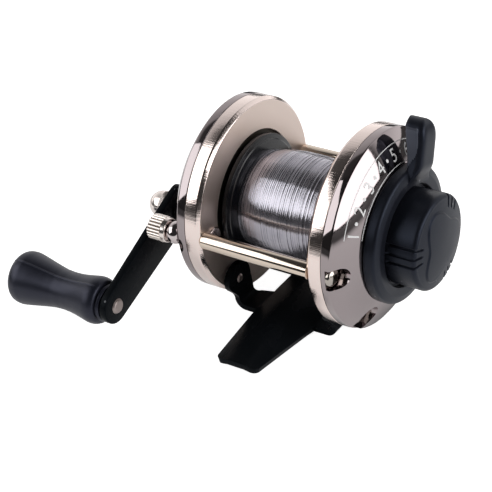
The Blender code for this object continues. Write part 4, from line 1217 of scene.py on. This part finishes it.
@dataclass
class ThumbNut:
    """Ball collar and knurled nut in line with the front pillar."""

    shop: Shop
    hole: float = 1.25
    collar_start: float = 20.7
    collar_end: float = 24.0
    collar_radius: float = 2.75
    collar_waist: float = 0.6
    nut_start: float = 24.1
    nut_end: float = 29.0
    nut_radius: float = 3.15
    lip: float = 1.1
    ridges: int = 22
    ridge_depth: float = 0.6
    ridge_roundness: float = 0.5
    knurl_from: float = 2.2
    gap_share: float = 0.72

    def collar(self) -> None:
        """Round collar under the nut."""
        turn = np.linspace(0.0, math.pi, 19)
        middle = (self.collar_start + self.collar_end) / 2
        half = (self.collar_end - self.collar_start) / 2
        swell = self.collar_waist + (1 - self.collar_waist) * np.sin(turn)
        ball = np.stack([-(middle - half * np.cos(turn)), self.collar_radius * swell], -1)
        ends = np.array([[-self.collar_start, self.hole], [-self.collar_end, self.hole]])
        loop = np.concatenate([ends[:1], ball, ends[1:]]) * MM
        surface = turned(loop, spot_centre(FRONT_SPOT), 64)
        self.shop.make(surface, "thumb_collar", Body.FRAME, "collar_nickel")

    def nut(self) -> None:
        """Nut with a plain lip and a straight knurl, with painted shade in the gaps."""
        knurl = self.nut_start + self.lip
        corners = [
            (self.nut_start, self.hole, 0.1),
            (self.nut_start, self.nut_radius - 0.25, 0.3),
            (knurl, self.nut_radius - 0.15, 0.1),
            (knurl + 0.05, self.nut_radius, 0.02),
            (self.nut_end, self.nut_radius, 0.35),
            (self.nut_end, self.hole, 0.1),
        ]
        profile = rounded(sided(corners, Side.HANDLE))
        angles = circle_angles(self.ridges * 12)
        wave = np.abs(np.sin(angles * self.ridges / 2)) ** self.ridge_roundness
        on_knurl = ((profile[:, 0] < -knurl * MM) & (profile[:, 1] > self.knurl_from * MM))[:, None]
        depth = on_knurl * (1 - wave) * self.ridge_depth * MM
        grid = revolve(profile, angles, spot_centre(FRONT_SPOT), -depth)
        # Painted shade: the knurl's gaps take the darker screw_steel finish.
        painted_shade_gaps = on_knurl & (wave < self.gap_share)
        surface = Surface().grid(grid, wrap_rows=True, finish=painted_shade_gaps.astype(int))
        self.shop.make(surface, "thumb_nut", Body.THUMB_NUT, "pale_nickel", "screw_steel", sharp=50.0)

    def build(self) -> None:
        """Make the collar and the nut."""
        self.collar()
        self.nut()


@dataclass
class Crank:
    """Arm, cap nut, spacer, knob rivet and handle knob."""

    shop: Shop
    hub_radius: float = 5.6
    hub_reach: float = 4.7
    hub_squareness: float = 0.55
    end_radius: float = 4.5
    arm_edge: float = 0.3
    spacer_ends: Spot = (26.1, 32.8)
    spacer_radius: float = 3.2
    shaft_radius: float = 2.1
    nut_gap: float = 0.1
    nut_radius: float = 4.2
    nut_height: float = 2.2
    nut_length: float = 6.6
    dome_radius: float = 3.4
    flat_tool: Spot = (3.0, 4.0)
    rivet_head: float = 1.9
    rivet_rise: float = 0.55
    rivet_radius: float = 1.5
    rivet_gap: float = 0.05
    tail_radius: float = 2.5
    tail_height: float = 1.2
    tail_depth: float = 1.7
    knob_start: float = 35.3
    knob_length: float = 27.7
    boss_length: float = 1.2
    bore_gap: float = 0.1
    tail_pocket: Spot = (2.7, 1.8)
    parting_height: float = 0.09
    parting_width: float = 0.16
    parting_turns: Spot = (math.radians(17.0), math.radians(197.0))
    parting_from: Spot = (0.8, 4.4)

    def arm(self) -> None:
        """Flat black arm: a squarish hub end and a round knob end joined by straight sides."""
        lean = math.acos((self.hub_radius - self.end_radius) / CRANK_RADIUS)
        turn_hub = np.linspace(lean, 2 * math.pi - lean, 81)
        turn_end = np.linspace(-lean, lean, 41)
        back = squared(np.cos(turn_hub), self.hub_squareness)
        beside = squared(np.sin(turn_hub), self.hub_squareness)
        back *= np.where(back < 0, self.hub_reach, self.hub_radius)
        along = np.concatenate([back, CRANK_RADIUS + self.end_radius * np.cos(turn_end)])
        across = np.concatenate([self.hub_radius * beside, self.end_radius * np.sin(turn_end)])
        outline = directed(DRIVE_SPOT, -direction(CRANK_DROP), along, across)
        surface = prism(outline, (-ARM_FACE, -(ARM_FACE + ARM_THICKNESS)), self.arm_edge)
        self.shop.make(surface, "crank_arm", Body.CRANK, "black_enamel")

    def spacer(self) -> None:
        """Spacer between the cover and the arm."""
        first, last = self.spacer_ends
        corners = [
            (first, self.shaft_radius, 0.1),
            (first, self.spacer_radius, 0.3),
            (last, self.spacer_radius, 0.3),
            (last, self.shaft_radius, 0.1),
        ]
        surface = turned(rounded(sided(corners, Side.HANDLE)), spot_centre(DRIVE_SPOT), 48)
        self.shop.make(surface, "crank_spacer", Body.CRANK, "bright_steel")

    def cap_nut(self) -> None:
        """Domed cap nut on the arm, with six flats at its foot."""
        start = ARM_FACE + ARM_THICKNESS + self.nut_gap
        base = start + self.nut_height
        dome = start + self.nut_length - self.dome_radius
        turn = np.linspace(0.0, math.pi / 2, 13)[1:]
        cap = self.dome_radius * np.stack([-np.sin(turn), np.cos(turn)], -1) - np.array([dome, 0.0])
        corners = [
            (start, 0.0, 0.0),
            (start, self.nut_radius, 0.3),
            (base - 0.5, self.nut_radius, 0.6),
            (base, self.dome_radius + 0.4, 0.2),
            (base + 0.2, self.dome_radius, 0.2),
            (dome, self.dome_radius, 0.0),
        ]
        profile = np.concatenate([rounded(sided(corners, Side.HANDLE), closed=False), cap * MM])
        materials = [self.shop["pale_nickel"]]
        piece = turned(profile, spot_centre(DRIVE_SPOT), 64, closed=False).build("cap_nut_look", materials)
        thick, wide = self.flat_tool
        along = self.nut_radius * math.cos(math.pi / 6) + np.array([0, 1, 1, 0]) * thick
        across = np.array([-1, -1, 1, 1]) * wide
        places = (-(base + 0.1), -(start - 0.5))
        for angle in circle_angles(6):
            tool = prism(directed(DRIVE_SPOT, direction(angle), along, across), places)
            boolean(piece, tool.build("flat", materials))
        self.shop.fit(piece, Body.CRANK, "pale_nickel", "cap_nut")

    def rivet(self) -> None:
        """Knob rivet: low round head on the arm's inner face, axle and tail."""
        head = ARM_FACE - self.rivet_gap
        tail = self.knob_start + self.knob_length - self.tail_depth
        corners = [
            (head - self.rivet_rise, 0.0, 0.0),
            (head - self.rivet_rise, self.rivet_head * 0.8, 0.5),
            (head, self.rivet_head, 0.0),
            (head, self.rivet_radius, 0.0),
            (tail, self.rivet_radius, 0.0),
            (tail, self.tail_radius, 0.1),
            (tail + self.tail_height - 0.1, self.tail_radius, 0.5),
            (tail + self.tail_height, 0.0, 0.0),
        ]
        profile = rounded(sided(corners, Side.HANDLE), closed=False)
        surface = turned(profile, spot_centre(KNOB_SPOT), 48, closed=False)
        self.shop.make(surface, "knob_rivet", Body.CRANK, "rivet_steel")

    def knob_radius(self, share: Array) -> Array:
        """Radius along the grip: shoulder, waist, bulge and round end, interpolated and then smoothed.

        Args:
            share: Values from 0 at the arm to 1 at the free end.

        Returns:
            Radii.
        """
        places = [0.0, 0.012, 0.03, 0.06, 0.10, 0.16, 0.25, 0.32, 0.40]
        radii = [5.0, 5.4, 5.65, 5.85, 5.85, 5.55, 5.1, 4.87, 4.75]
        places += [0.50, 0.58, 0.68, 0.78, 0.87, 0.93, 0.97, 0.99, 1.0]
        radii += [4.87, 5.2, 5.72, 6.27, 6.7, 6.6, 6.0, 5.1, 4.2]
        fine = np.interp(share, places, radii)
        window = np.hanning(2 * max(3, len(share) // 40) + 1)[1:-1]
        padded = np.pad(fine, len(window) // 2, mode="edge")
        smooth = np.convolve(padded, window / window.sum(), mode="valid")
        smooth[:2] = fine[:2]
        smooth[-2:] = fine[-2:]
        return smooth

    def knob(self) -> None:
        """Moulded knob with a collar at the arm, a groove, a waisted grip and a faint parting line."""
        start = self.knob_start
        end = start + self.knob_length
        grip_start = start + self.boss_length
        bore = self.rivet_radius + self.bore_gap
        pocket, deep = self.tail_pocket
        share = np.linspace(0.0, 1.0, 90)
        grip = np.stack([grip_start + (end - grip_start) * share, self.knob_radius(share)], -1)
        lead = [
            (start, bore, 0.0),
            (start, 4.3, 0.2),
            (start + 0.7, 4.75, 0.2),
            (start + 0.8, 4.1, 0.1),
            (grip_start, 4.2, 0.1),
            (grip_start, grip[0, 1], 0.0),
        ]
        tail = [
            (end, grip[-1, 1], 0.0),
            (end, pocket, 0.2),
            (end - deep, pocket, 0.1),
            (end - deep, bore, 0.0),
        ]
        ends = [rounded(corners, closed=False) for corners in (lead, tail)]
        profile = np.concatenate([ends[0][:-1], grip * MM, ends[1][1:]]) * np.array([-1.0, 1.0])
        seams = np.array(self.parting_turns)
        fine = np.linspace(-0.09, 0.09, 15)
        angles = np.unique(np.concatenate([circle_angles(96), (seams[:, None] + fine).ravel()]))
        away = np.min(np.abs(angles[:, None] - seams), axis=1)
        past, least = self.parting_from
        on_grip = (profile[:, 0] < -(grip_start + past) * MM) & (profile[:, 1] > least * MM)
        arc = away * profile[:, 1, None] / MM
        ridge = self.parting_height * np.exp(-((arc / self.parting_width) ** 2)) * on_grip[:, None] * MM
        surface = Surface().grid(revolve(profile, angles, spot_centre(KNOB_SPOT), ridge), wrap_rows=True)
        self.shop.make(surface, "handle_knob", Body.HANDLE, "grip_plastic")

    def build(self) -> None:
        """Make every piece of the crank."""
        self.arm()
        self.spacer()
        self.cap_nut()
        self.rivet()
        self.knob()


@dataclass
class Spool:
    """Black spool and the line wound on it."""

    shop: Shop
    flange_radius: float = 15.4
    flange_root: float = 11.2
    flange_rim: float = 12.6
    flange_step: float = 14.3
    outer_face: float = 14.0
    barrel: float = 7.0
    socket: float = 4.0
    socket_depth: float = 5.0
    bore: float = 1.9
    heart_radius: float = 12.45
    heart_gap: float = 0.1
    path_radius: float = 12.9
    flange_gap: float = 0.12
    line_radius: float = 0.2
    flatness: float = 0.2
    turns: int = 84
    points_per_turn: int = 72
    sides: int = 6
    seed: int = 11
    wander: float = 0.07
    unevenness: float = 0.05
    shoulder_drop: float = 1.2
    plateau: Spot = (-1.6, 1.4)
    shoulder_width: float = 8.6
    cross_starts: tuple[float, ...] = (-0.8, -0.35, 0.15, 0.5)
    cross_turns: int = 5
    cross_sweep: float = 0.42
    cross_phase: float = 5.0
    cross_lift: float = 0.1
    cross_wave: Spot = (0.04, 9.0)

    def face_at(self, radius: float) -> float:
        """Place of a flange's inner face at a radius: a shallow cone."""
        share = (radius - self.barrel) / (self.flange_radius - self.barrel)
        return self.flange_root + (self.flange_rim - self.flange_root) * share

    def spool(self) -> None:
        """Spool with rounded flange rims and a shallow step on each inner face."""
        deep = self.outer_face - self.socket_depth
        step = self.flange_step
        face = self.face_at(step)
        half = [
            (deep, self.bore, 0.0),
            (deep, self.socket, 0.1),
            (self.outer_face, self.socket, 0.15),
            (self.outer_face, self.flange_radius, 0.35),
            (self.flange_rim, self.flange_radius, 0.3),
            (face - 0.05, step, 0.25),
            (face - 0.25, step - 0.25, 0.1),
            (self.flange_root, self.barrel, 0.2),
        ]
        profile = rounded(half + sided(half[::-1], Side.HANDLE))
        self.shop.make(turned(profile, segments=160), "spool", Body.SPOOL, "spool_black")

    def heart(self) -> None:
        """Inner layers of line under the outer one, near black as painted shade between the strands."""
        low = self.barrel + self.heart_gap
        wide = self.face_at(self.heart_radius) - self.heart_gap
        narrow = self.face_at(low) - self.heart_gap
        sheen_and_flange_level = self.heart_radius - self.shoulder_drop
        corners = [
            (-narrow, low, 0.0),
            (-wide, sheen_and_flange_level, 0.2),
            (self.plateau[0], self.heart_radius, 0.5),
            (self.plateau[1], self.heart_radius, 0.5),
            (wide, sheen_and_flange_level, 0.2),
            (narrow, low, 0.0),
        ]
        self.shop.make(turned(rounded(corners), segments=128), "line_core", Body.SPOOL, "line_heart")

    def strand(self, place: Array, lift: Array, angle: Array) -> Array:
        """Rings of one strand of line, each square to its path.

        A ring's first axis points away from the axle, and its second is the path's direction crossed with
        it. The ring is a flat ellipse, as the strand shows only its top. The path has its full radius on the
        plateau and curves down to the flanges.

        Args:
            place: Places along X.
            lift: Heights above the path's radius.
            angle: Angles from the bottom.

        Returns:
            Points in metres.
        """
        past = np.maximum(self.plateau[0] - place, place - self.plateau[1]) / self.shoulder_width
        share = np.clip(past, 0.0, 1.0)
        radius = self.path_radius + lift - self.shoulder_drop * share * share
        path = np.stack([place, radius * np.sin(angle), -radius * np.cos(angle)], -1)
        tangent = np.gradient(path, axis=0)
        tangent /= np.linalg.norm(tangent, axis=1)[:, None]
        away = path * np.array([0.0, 1.0, 1.0])
        away -= tangent * np.sum(away * tangent, axis=1)[:, None]
        away /= np.linalg.norm(away, axis=1)[:, None]
        beside = np.cross(tangent, away)
        turn = circle_angles(self.sides)[:, None]
        ring = self.flatness * np.cos(turn) * away[:, None, :] + np.sin(turn) * beside[:, None, :]
        points = path[:, None, :] + self.line_radius * ring
        return raised(points[..., 0], points[..., 1], points[..., 2])

    def winding(self) -> None:
        """Outer layer: one helix of close turns that wander a little, with crossing turns laid over it."""
        rng = np.random.default_rng(self.seed)
        limit = self.face_at(self.path_radius) - self.line_radius - self.flange_gap
        share = np.linspace(0.0, 1.0, self.turns * self.points_per_turn + 1)
        knots = np.linspace(0.0, 1.0, self.turns * 3)
        drift = np.interp(share, knots, rng.normal(0.0, self.wander, len(knots)))
        lift = np.interp(share, knots, np.abs(rng.normal(0.0, self.unevenness, len(knots))))
        place = np.clip(-limit + 2 * limit * share + drift, -limit, limit)
        surface = Surface().tube(self.strand(place, lift, share * self.turns * 2 * math.pi))
        part = np.linspace(0.0, 1.0, self.cross_turns * self.points_per_turn)
        over = self.cross_lift + self.cross_wave[0] * np.sin(part * self.cross_wave[1])
        for start in self.cross_starts:
            sweep = start * limit + self.cross_sweep * limit * part
            around = part * self.cross_turns * 2 * math.pi + start * self.cross_phase
            surface.tube(self.strand(sweep, over, around))
        self.shop.make(surface, "line_winding", Body.SPOOL, "clear_line", sharp=80.0)

    def build(self) -> None:
        """Make spool and line."""
        self.spool()
        self.heart()
        self.winding()


@dataclass
class Dial:
    """Drag lever and preset knob."""

    shop: Shop
    ring_radius: float = 16.4
    ring_depth: float = 3.3
    recess_radius: float = 12.2
    recess_depth: float = 1.7
    hub: Spot = (21.2, 8.4)
    bore: float = 1.6
    reach: float = 27.7
    lean: float = math.radians(16.7)
    root: float = 12.25
    root_depth: float = 3.35
    lever_depth: float = 5.6
    step_length: float = 5.5
    tip_half: float = 3.3
    rear_halves: Spot = (3.3, 6.6)
    front_halves: Spot = (3.4, 5.0)
    flare_length: float = 6.0
    back_rise: float = 2.4
    tip_fall: Spot = (5.2, 2.4)
    squareness: float = 0.36
    scoop: float = 0.8
    scoop_rim: float = 1.9
    scoop_reach: float = 0.42
    scoop_edge: float = 0.22
    scoop_start: Spot = (2.5, 5.0)
    scoop_end: float = 0.7
    # Where the scoop's painted sheen starts past the root, and how long it takes to reach full width.
    sheen_and_flange_level: Spot = (2.0, 7.5)
    sheen_edge: Spot = (0.75, 0.3)
    knob_gap: float = 0.4
    knob_radius: float = 11.4
    knob_depth: float = 8.4
    knob_draft: float = 0.1
    knob_rounding: float = 1.1
    crown: float = 1.2
    groove_width: float = 0.62
    groove_depth: float = 0.5
    groove_wall: float = 0.14
    groove_start: float = 0.8
    groove_wrap: float = 1.9
    groove_fade: float = 0.4
    groove_pitch: float = math.radians(11.0)
    first_group: float = math.radians(10.0)
    panel_height: float = 0.32
    panel_slope: float = 0.34
    panel_lobes: Spot = (7.6, 1.5)

    def lever_section(self) -> tuple[Array, Array]:
        """Section of the lever: a superellipse with evenly spaced points.

        Returns:
            Shares of the half width and of the half depth.
        """
        turn = np.linspace(0.0, 2 * math.pi, 2001)
        wide = squared(np.cos(turn), self.squareness)
        deep = squared(np.sin(turn), self.squareness)
        steps = np.hypot(np.diff(wide) * self.rear_halves[0], np.diff(deep) * self.lever_depth / 2)
        length = np.concatenate([[0.0], np.cumsum(steps)])
        spots = np.linspace(0.0, length[-1], 120, endpoint=False)
        return np.interp(spots, length, wide), np.interp(spots, length, deep)

    def blade(self) -> Surface:
        """The lever's arm, from inside the ring to its rounded tip.

        Its front and rear half widths ease from a flared root and close along a quarter circle at the tip.
        Its depth grows from the ring's depth at the root. Its outer face falls back along a quarter ellipse
        at the tip, and its back comes down from the ring's middle to the cover. A scoop is taken out of the
        front side, between the root, a rim at the tip and the outer edge. The scoop's face carries a painted
        sheen in a paler finish: all its width at the tip, none at the root.

        Returns:
            The surface, with finish number 1 where the sheen is painted.
        """
        tip = self.reach - self.tip_half
        turn = np.linspace(0.0, math.pi / 2, 15)[1:]
        along = np.concatenate([np.linspace(self.root, tip, 26), tip + self.tip_half * np.sin(turn)])
        along = along[:, None]
        past_root = along - self.root
        wide, deep = self.lever_section()
        flare = (1 - np.clip(past_root / self.flare_length, 0.0, 1.0)) ** 2
        rear, front = (half + (root - half) * flare for half, root in (self.rear_halves, self.front_halves))
        into = np.clip((along - tip) / self.tip_half, 0.0, 1.0)
        close = np.maximum(np.sqrt(np.maximum(1 - into**2, 0.0)), 0.02)
        fall_length, fall = self.tip_fall
        near_tip = np.clip((along - (self.reach - fall_length)) / fall_length, 0.0, 1.0)
        depth = self.root_depth + (self.lever_depth - self.root_depth) * eased(past_root / self.step_length)
        depth -= fall * (1 - np.sqrt(np.maximum(1 - near_tip**2, 0.0)))
        rim = self.reach - self.scoop_rim
        scoop = self.scoop * eased((past_root - self.scoop_start[0]) / self.scoop_start[1])
        scoop = scoop * eased((rim - along) / self.scoop_end)
        in_depth = eased((self.scoop_reach - deep) / self.scoop_edge) * (wide > 0)
        across = np.where(wide > 0, front, rear) * close * wide - scoop * in_depth * np.abs(wide)
        lift = self.back_rise * np.clip((tip - along) / (tip - self.root), 0.0, 1.0)
        x = DIAL_BACK + lift + (depth - lift) / 2 * (1 + deep)
        sides = directed((0.0, 0.0), direction(math.pi / 2 - self.lean), along, across)
        # Painted sheen on the scoop face: from none at the root to its full width towards the tip.
        sheen_and_flange_level = eased((past_root - self.sheen_and_flange_level[0]) / self.sheen_and_flange_level[1])
        sheen_faces = deep < sheen_and_flange_level * (1 + self.scoop_reach) - 1
        sheen_faces &= (wide > self.sheen_edge[0]) & (along < rim - self.sheen_edge[1])
        return Surface().tube(raised(x, sides[..., 0], sides[..., 1]), finish=sheen_faces[:-1].astype(int))

    def lever(self) -> None:
        """Ring with a recess for the knob, a hub through the cover, and the lever."""
        front = DIAL_BACK + self.ring_depth
        floor = front - self.recess_depth
        hub_start, hub_radius = self.hub
        corners = [
            (hub_start, self.bore, 0.0),
            (hub_start, hub_radius, 0.2),
            (DIAL_BACK, hub_radius, 0.0),
            (DIAL_BACK, self.ring_radius, 0.25),
            (front - 0.6, self.ring_radius, 0.9),
            (front, self.ring_radius - 2.0, 0.9),
            (front, self.recess_radius, 0.35),
            (floor, self.recess_radius, 0.2),
            (floor, self.bore, 0.0),
        ]
        materials = self.shop.several("satin_plastic", "scoop_painted_sheen")
        piece = turned(rounded(corners), segments=160).build("drag_lever_look", materials)
        boolean(piece, self.blade().build("blade", materials), Join.ADD, sharp=35.0)
        self.shop.fit(piece, Body.LEVER, "satin_plastic", "drag_lever")

    def groove_angles(self) -> Array:
        """Angles of the nine grip grooves.

        Returns:
            Angles from the bottom, towards +Y.
        """
        groups = self.first_group + circle_angles(3)
        offsets = (np.arange(3) - 1) * self.groove_pitch
        return np.mod(-math.pi / 2 - (groups[:, None] + offsets).ravel(), 2 * math.pi)

    def knob_profile(self, start: float, edge: float) -> Array:
        """Profile of the preset knob: back, side, rounded corner and crowned face.

        Args:
            start: Place of the knob's back.
            edge: Place where the face begins.

        Returns:
            Points (place, radius).
        """
        flat = self.knob_radius - self.knob_rounding
        bend = edge - self.knob_rounding
        corners = [
            (start, 0.0, 0.0),
            (start, self.knob_radius - self.knob_draft, 0.3),
            (bend - 0.01, self.knob_radius, 0.0),
        ]
        side = rounded(corners, closed=False) / MM
        wall = side[-2] + (side[-1] - side[-2]) * np.linspace(0.0, 1.0, 14)[1:-1, None]
        turn = np.linspace(0.0, math.pi / 2, 12)[1:]
        corner = np.array([bend, flat]) + self.knob_rounding * np.stack([np.sin(turn), np.cos(turn)], -1)
        radii = np.linspace(flat, 0.0, 74)[1:]
        face = np.stack([edge + self.crown * (1 - (radii / flat) ** 2), radii], -1)
        return np.concatenate([side[:-1], wall, side[-1:], corner, face])

    def knob(self) -> None:
        """Preset knob: side and crowned face in one grid, with cut grooves and a raised three-lobed panel."""
        start = DIAL_BACK + self.ring_depth - self.recess_depth + self.knob_gap
        edge = start + self.knob_depth
        profile = self.knob_profile(start, edge)
        place = profile[:, 0, None]
        radius = profile[:, 1, None]
        grooves = self.groove_angles()
        fine = (grooves[:, None] + np.linspace(-0.055, 0.055, 15)).ravel()
        angles = np.unique(np.mod(np.concatenate([circle_angles(180), fine]), 2 * math.pi))
        gap = np.abs(angles[:, None] - grooves)
        arc = np.min(np.minimum(gap, 2 * math.pi - gap), axis=1) * self.knob_radius
        groove = np.clip((self.groove_width / 2 - arc) / self.groove_wall + 0.5, 0.0, 1.0)
        wrap = self.knob_radius - self.knob_rounding - self.groove_wrap
        groove = groove * np.clip((place - start - self.groove_start) / self.groove_fade, 0.0, 1.0)
        groove = groove * np.clip((radius - wrap) / self.groove_fade, 0.0, 1.0) * self.groove_depth
        middle, swing = self.panel_lobes
        lobes = middle - swing * np.cos(3 * (angles + math.pi / 2 + self.first_group))
        on_face = place > edge - 1e-9
        panel = on_face * eased((lobes - radius) / self.panel_slope + 0.5) * self.panel_height
        tangent = np.gradient(profile, axis=0)
        tangent /= np.maximum(np.linalg.norm(tangent, axis=1), 1e-9)[:, None]
        shift = panel - groove
        out = np.maximum(radius + tangent[:, 0, None] * shift, 0.0)
        out[[0, -1]] = 0.0
        grid = raised(place - tangent[:, 1, None] * shift, out * np.sin(angles), -out * np.cos(angles))
        self.shop.make(Surface().grid(grid), "preset_knob", Body.PRESET, "satin_plastic", sharp=50.0)

    def build(self) -> None:
        """Make the lever and the knob."""
        self.lever()
        self.knob()


KEPT_NODES = {
    "bright_steel": (
        "thumb_stud", "spool_axle", "drive_shaft", "gear_collar", "handle_side_bearing",
        "dial_side_bearing", "brake_disc", "pressure_plate", "drag_spring_washer",
    ),
    "brass": ("gear_bush", "cover_bush", "main_gear", "spool_pinion", "cam_ring", "preset_nut"),
    # The gear plate gets the near-black brass as painted shade.
    "brass_painted_shade": ("gear_plate",),
    "drag_fibre": ("drag_pad",),
}


@dataclass
class InnerWorks:
    """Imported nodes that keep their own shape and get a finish."""

    shop: Shop

    def build(self, nodes: dict[str, Piece]) -> None:
        """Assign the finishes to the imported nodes.

        Args:
            nodes: Packed objects by name.
        """
        for finish, names in KEPT_NODES.items():
            for name in names:
                mesh = nodes[name].data
                mesh.materials.clear()
                mesh.materials.append(self.shop[finish])
                LOG.info("%s keeps its packed shape in %s", name, finish)


# Studio, in metres


def aimed(place: Vector, right: Vector, back: Vector) -> Matrix:
    """Matrix of a lamp or camera at a place from the axle, with its right-hand and backward axes."""
    turn = Matrix((right, back.cross(right), back)).transposed().to_4x4()
    return Matrix.Translation(place + Vector((0.0, 0.0, AXLE_HEIGHT))) @ turn


@dataclass(frozen=True)
class Softbox:
    """Rectangular area light that looks at the axle."""

    name: str
    place: Triple
    size: Spot
    brightness: float
    upright: Triple = (0.0, 0.0, 1.0)

    def build(self) -> None:
        """Add the light. Its power is brightness times area times pi, as for an even panel."""
        data = bpy.data.lights.new(self.name, "AREA")
        data.shape = "RECTANGLE"
        data.size, data.size_y = self.size
        data.energy = self.brightness * self.size[0] * self.size[1] * math.pi
        back = Vector(self.place).normalized()
        right = Vector(self.upright).cross(back).normalized()
        linked(self.name, data).matrix_world = aimed(Vector(self.place), right, back)


@dataclass
class Studio:
    """Floor, light and camera."""

    floor_size: float = 6.0
    floor_glow: float = 0.55
    floor_fill: float = 0.36
    floor_shade: float = 0.85
    floor_far: float = 0.06
    floor_roughness: float = 0.9
    floor_specular: float = 0.1
    lit_radius: Spot = (0.16, 0.30)
    shade_centre: Triple = (0.002, 0.004, 0.0)
    shade_radius: Spot = (0.015, 0.029)
    shade_depth: float = 0.06
    eye: Triple = (182.176 * MM, -265.380 * MM, 203.306 * MM)
    azimuth: float = math.radians(37.1987)
    elevation: float = math.radians(33.4003)
    roll: float = math.radians(-6.6659)
    lens: float = 117.87
    sensor: float = 36.0
    clip: Spot = (0.01, 50.0)
    surround: float = 0.03
    backdrop_turn: float = math.radians(120.0)
    backdrop_edge: Spot = (0.10, 0.36)
    backdrop_tint: Triple = (1.0, 0.985, 0.98)
    backdrop_stops: tuple[Spot, ...] = (
        (0.0, 1.2), (0.25, 0.95), (0.6, 0.75), (0.8, 0.5), (0.845, 0.06), (1.0, 0.03),
    )
    boxes: tuple[Softbox, ...] = (
        Softbox("left_box", (-0.62, -0.565, 0.545), (0.62, 0.92), 2.2, (-0.48, 0.62, 0.62)),
        Softbox("right_box", (0.929, 0.131, 0.345), (1.0, 0.72), 3.2),
    )

    def camera(self) -> None:
        """Camera at the photograph's place, turned by azimuth, elevation and roll."""
        data = bpy.data.cameras.new("camera")
        data.lens = self.lens
        data.sensor_width = self.sensor
        data.sensor_fit = "HORIZONTAL"
        data.clip_start, data.clip_end = self.clip
        level = Vector((math.cos(self.azimuth), math.sin(self.azimuth), 0.0))
        out = Vector((math.sin(self.azimuth), -math.cos(self.azimuth), 0.0))
        back = out * math.cos(self.elevation) + Vector((0.0, 0.0, math.sin(self.elevation)))
        right = level * math.cos(self.roll) + back.cross(level) * math.sin(self.roll)
        camera = linked("camera", data)
        camera.matrix_world = aimed(Vector(self.eye), right, back)
        bpy.context.scene.camera = camera

    def floor_material(self) -> Material:
        """Pale floor: even and bright to the camera. In reflections it glows, with a painted pool of light
        round the reel and a painted shadow under it.

        Returns:
            The new material.
        """
        material = bpy.data.materials.new("pale_floor")
        material.use_nodes = True
        nodes = Nodes(material.node_tree)
        shader = material.node_tree.nodes["Principled BSDF"]
        spot = nodes.add("ShaderNodeTexCoord").outputs["Object"]
        camera_ray = nodes.add("ShaderNodeLightPath").outputs["Is Camera Ray"]
        away = nodes.vector("LENGTH", "Value", spot)
        beside = nodes.vector("DISTANCE", "Value", spot, self.shade_centre)
        # Painted light for reflections only: a pool of light that fades with distance from the reel, and a
        # painted shadow under it.
        lit = nodes.ranged(away, self.lit_radius, (self.floor_shade, self.floor_far))
        under = nodes.ranged(beside, self.shade_radius, (self.shade_depth, 1.0))
        level = nodes.blend(camera_ray, nodes.math("MULTIPLY", lit, under), self.floor_shade, "FLOAT")
        fill = nodes.math("MULTIPLY", level, self.floor_fill / self.floor_shade)
        strength = nodes.math("MULTIPLY_ADD", camera_ray, self.floor_glow, fill)
        nodes.fill(shader, {"Base Color": level, "Roughness": self.floor_roughness})
        nodes.fill(shader, {"Specular IOR Level": self.floor_specular})
        glow = nodes.add("ShaderNodeEmission", {"Strength": strength}).outputs["Emission"]
        both = nodes.add("ShaderNodeAddShader", {0: shader.outputs["BSDF"], 1: glow}).outputs["Shader"]
        nodes.fill(material.node_tree.nodes["Material Output"], {"Surface": both})
        return material

    def floor(self, height: float) -> None:
        """Floor under the reel.

        Args:
            height: Height of the floor.
        """
        half = self.floor_size / 2
        mesh = bpy.data.meshes.new("floor")
        signs = ((-1, -1), (1, -1), (1, 1), (-1, 1))
        mesh.from_pydata([(x * half, y * half, height) for x, y in signs], [], [(0, 1, 2, 3)])
        mesh.materials.append(self.floor_material())
        floor = linked("floor", mesh)
        floor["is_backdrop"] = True

    def world(self) -> None:
        """Pale to the camera, and in reflections a dark studio whose backdrop is brightest near the floor."""
        world = bpy.data.worlds.new("studio")
        bpy.context.scene.world = world
        world.use_nodes = True
        nodes = Nodes(world.node_tree)
        way = nodes.add("ShaderNodeTexCoord").outputs["Generated"]
        camera_ray = nodes.add("ShaderNodeLightPath").outputs["Is Camera Ray"]
        rise = nodes.add("ShaderNodeSeparateXYZ", {"Vector": way}).outputs["Z"]
        ramp = nodes.add("ShaderNodeValToRGB", {"Fac": rise})
        ramp.color_ramp.interpolation = "EASE"
        while len(ramp.color_ramp.elements) < len(self.backdrop_stops):
            ramp.color_ramp.elements.new(0.5)
        for element, (place, level) in zip(ramp.color_ramp.elements, self.backdrop_stops):
            element.position = place
            element.color = (*(level * tint for tint in self.backdrop_tint), 1.0)
        level_way = nodes.vector("MULTIPLY", "Vector", way, (1.0, 1.0, 0.0))
        heading = nodes.vector("NORMALIZE", "Vector", level_way)
        towards = nodes.vector("DOT_PRODUCT", "Value", heading, (*direction(self.backdrop_turn), 0.0))
        inside = nodes.ranged(towards, self.backdrop_edge)
        dark = (self.surround, self.surround, self.surround, 1.0)
        studio = nodes.blend(inside, dark, ramp.outputs["Color"])
        seen = nodes.blend(camera_ray, studio, (1.0, 1.0, 1.0, 1.0))
        nodes.fill(world.node_tree.nodes["Background"], {"Color": seen})

    def build(self, height: float) -> None:
        """Set up the studio.

        Args:
            height: Height of the floor.
        """
        bpy.context.scene.view_settings.view_transform = "Standard"
        self.camera()
        self.floor(height)
        self.world()
        for box in self.boxes:
            box.build()


def as_lists(box: tuple[Vector, Vector]) -> list[list[float]]:
    """Box corners as plain lists of numbers."""
    return [list(map(float, corner)) for corner in box]


def main() -> None:
    """Load the frame, build every piece and set up the studio."""
    logging.basicConfig(level=logging.INFO, format="%(name)s: %(message)s")
    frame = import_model()
    packed_box = as_lists(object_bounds())
    shop = Shop()
    for kind in (FrameBody, Foot, Covers, ThumbNut, Crank, Spool, Dial):
        kind(shop).build()
        LOG.info("%s done", kind.__name__)
    InnerWorks(shop).build(frame["nodes"])
    Studio().build(packed_box[0][2])


if __name__ == "__main__":
    main()
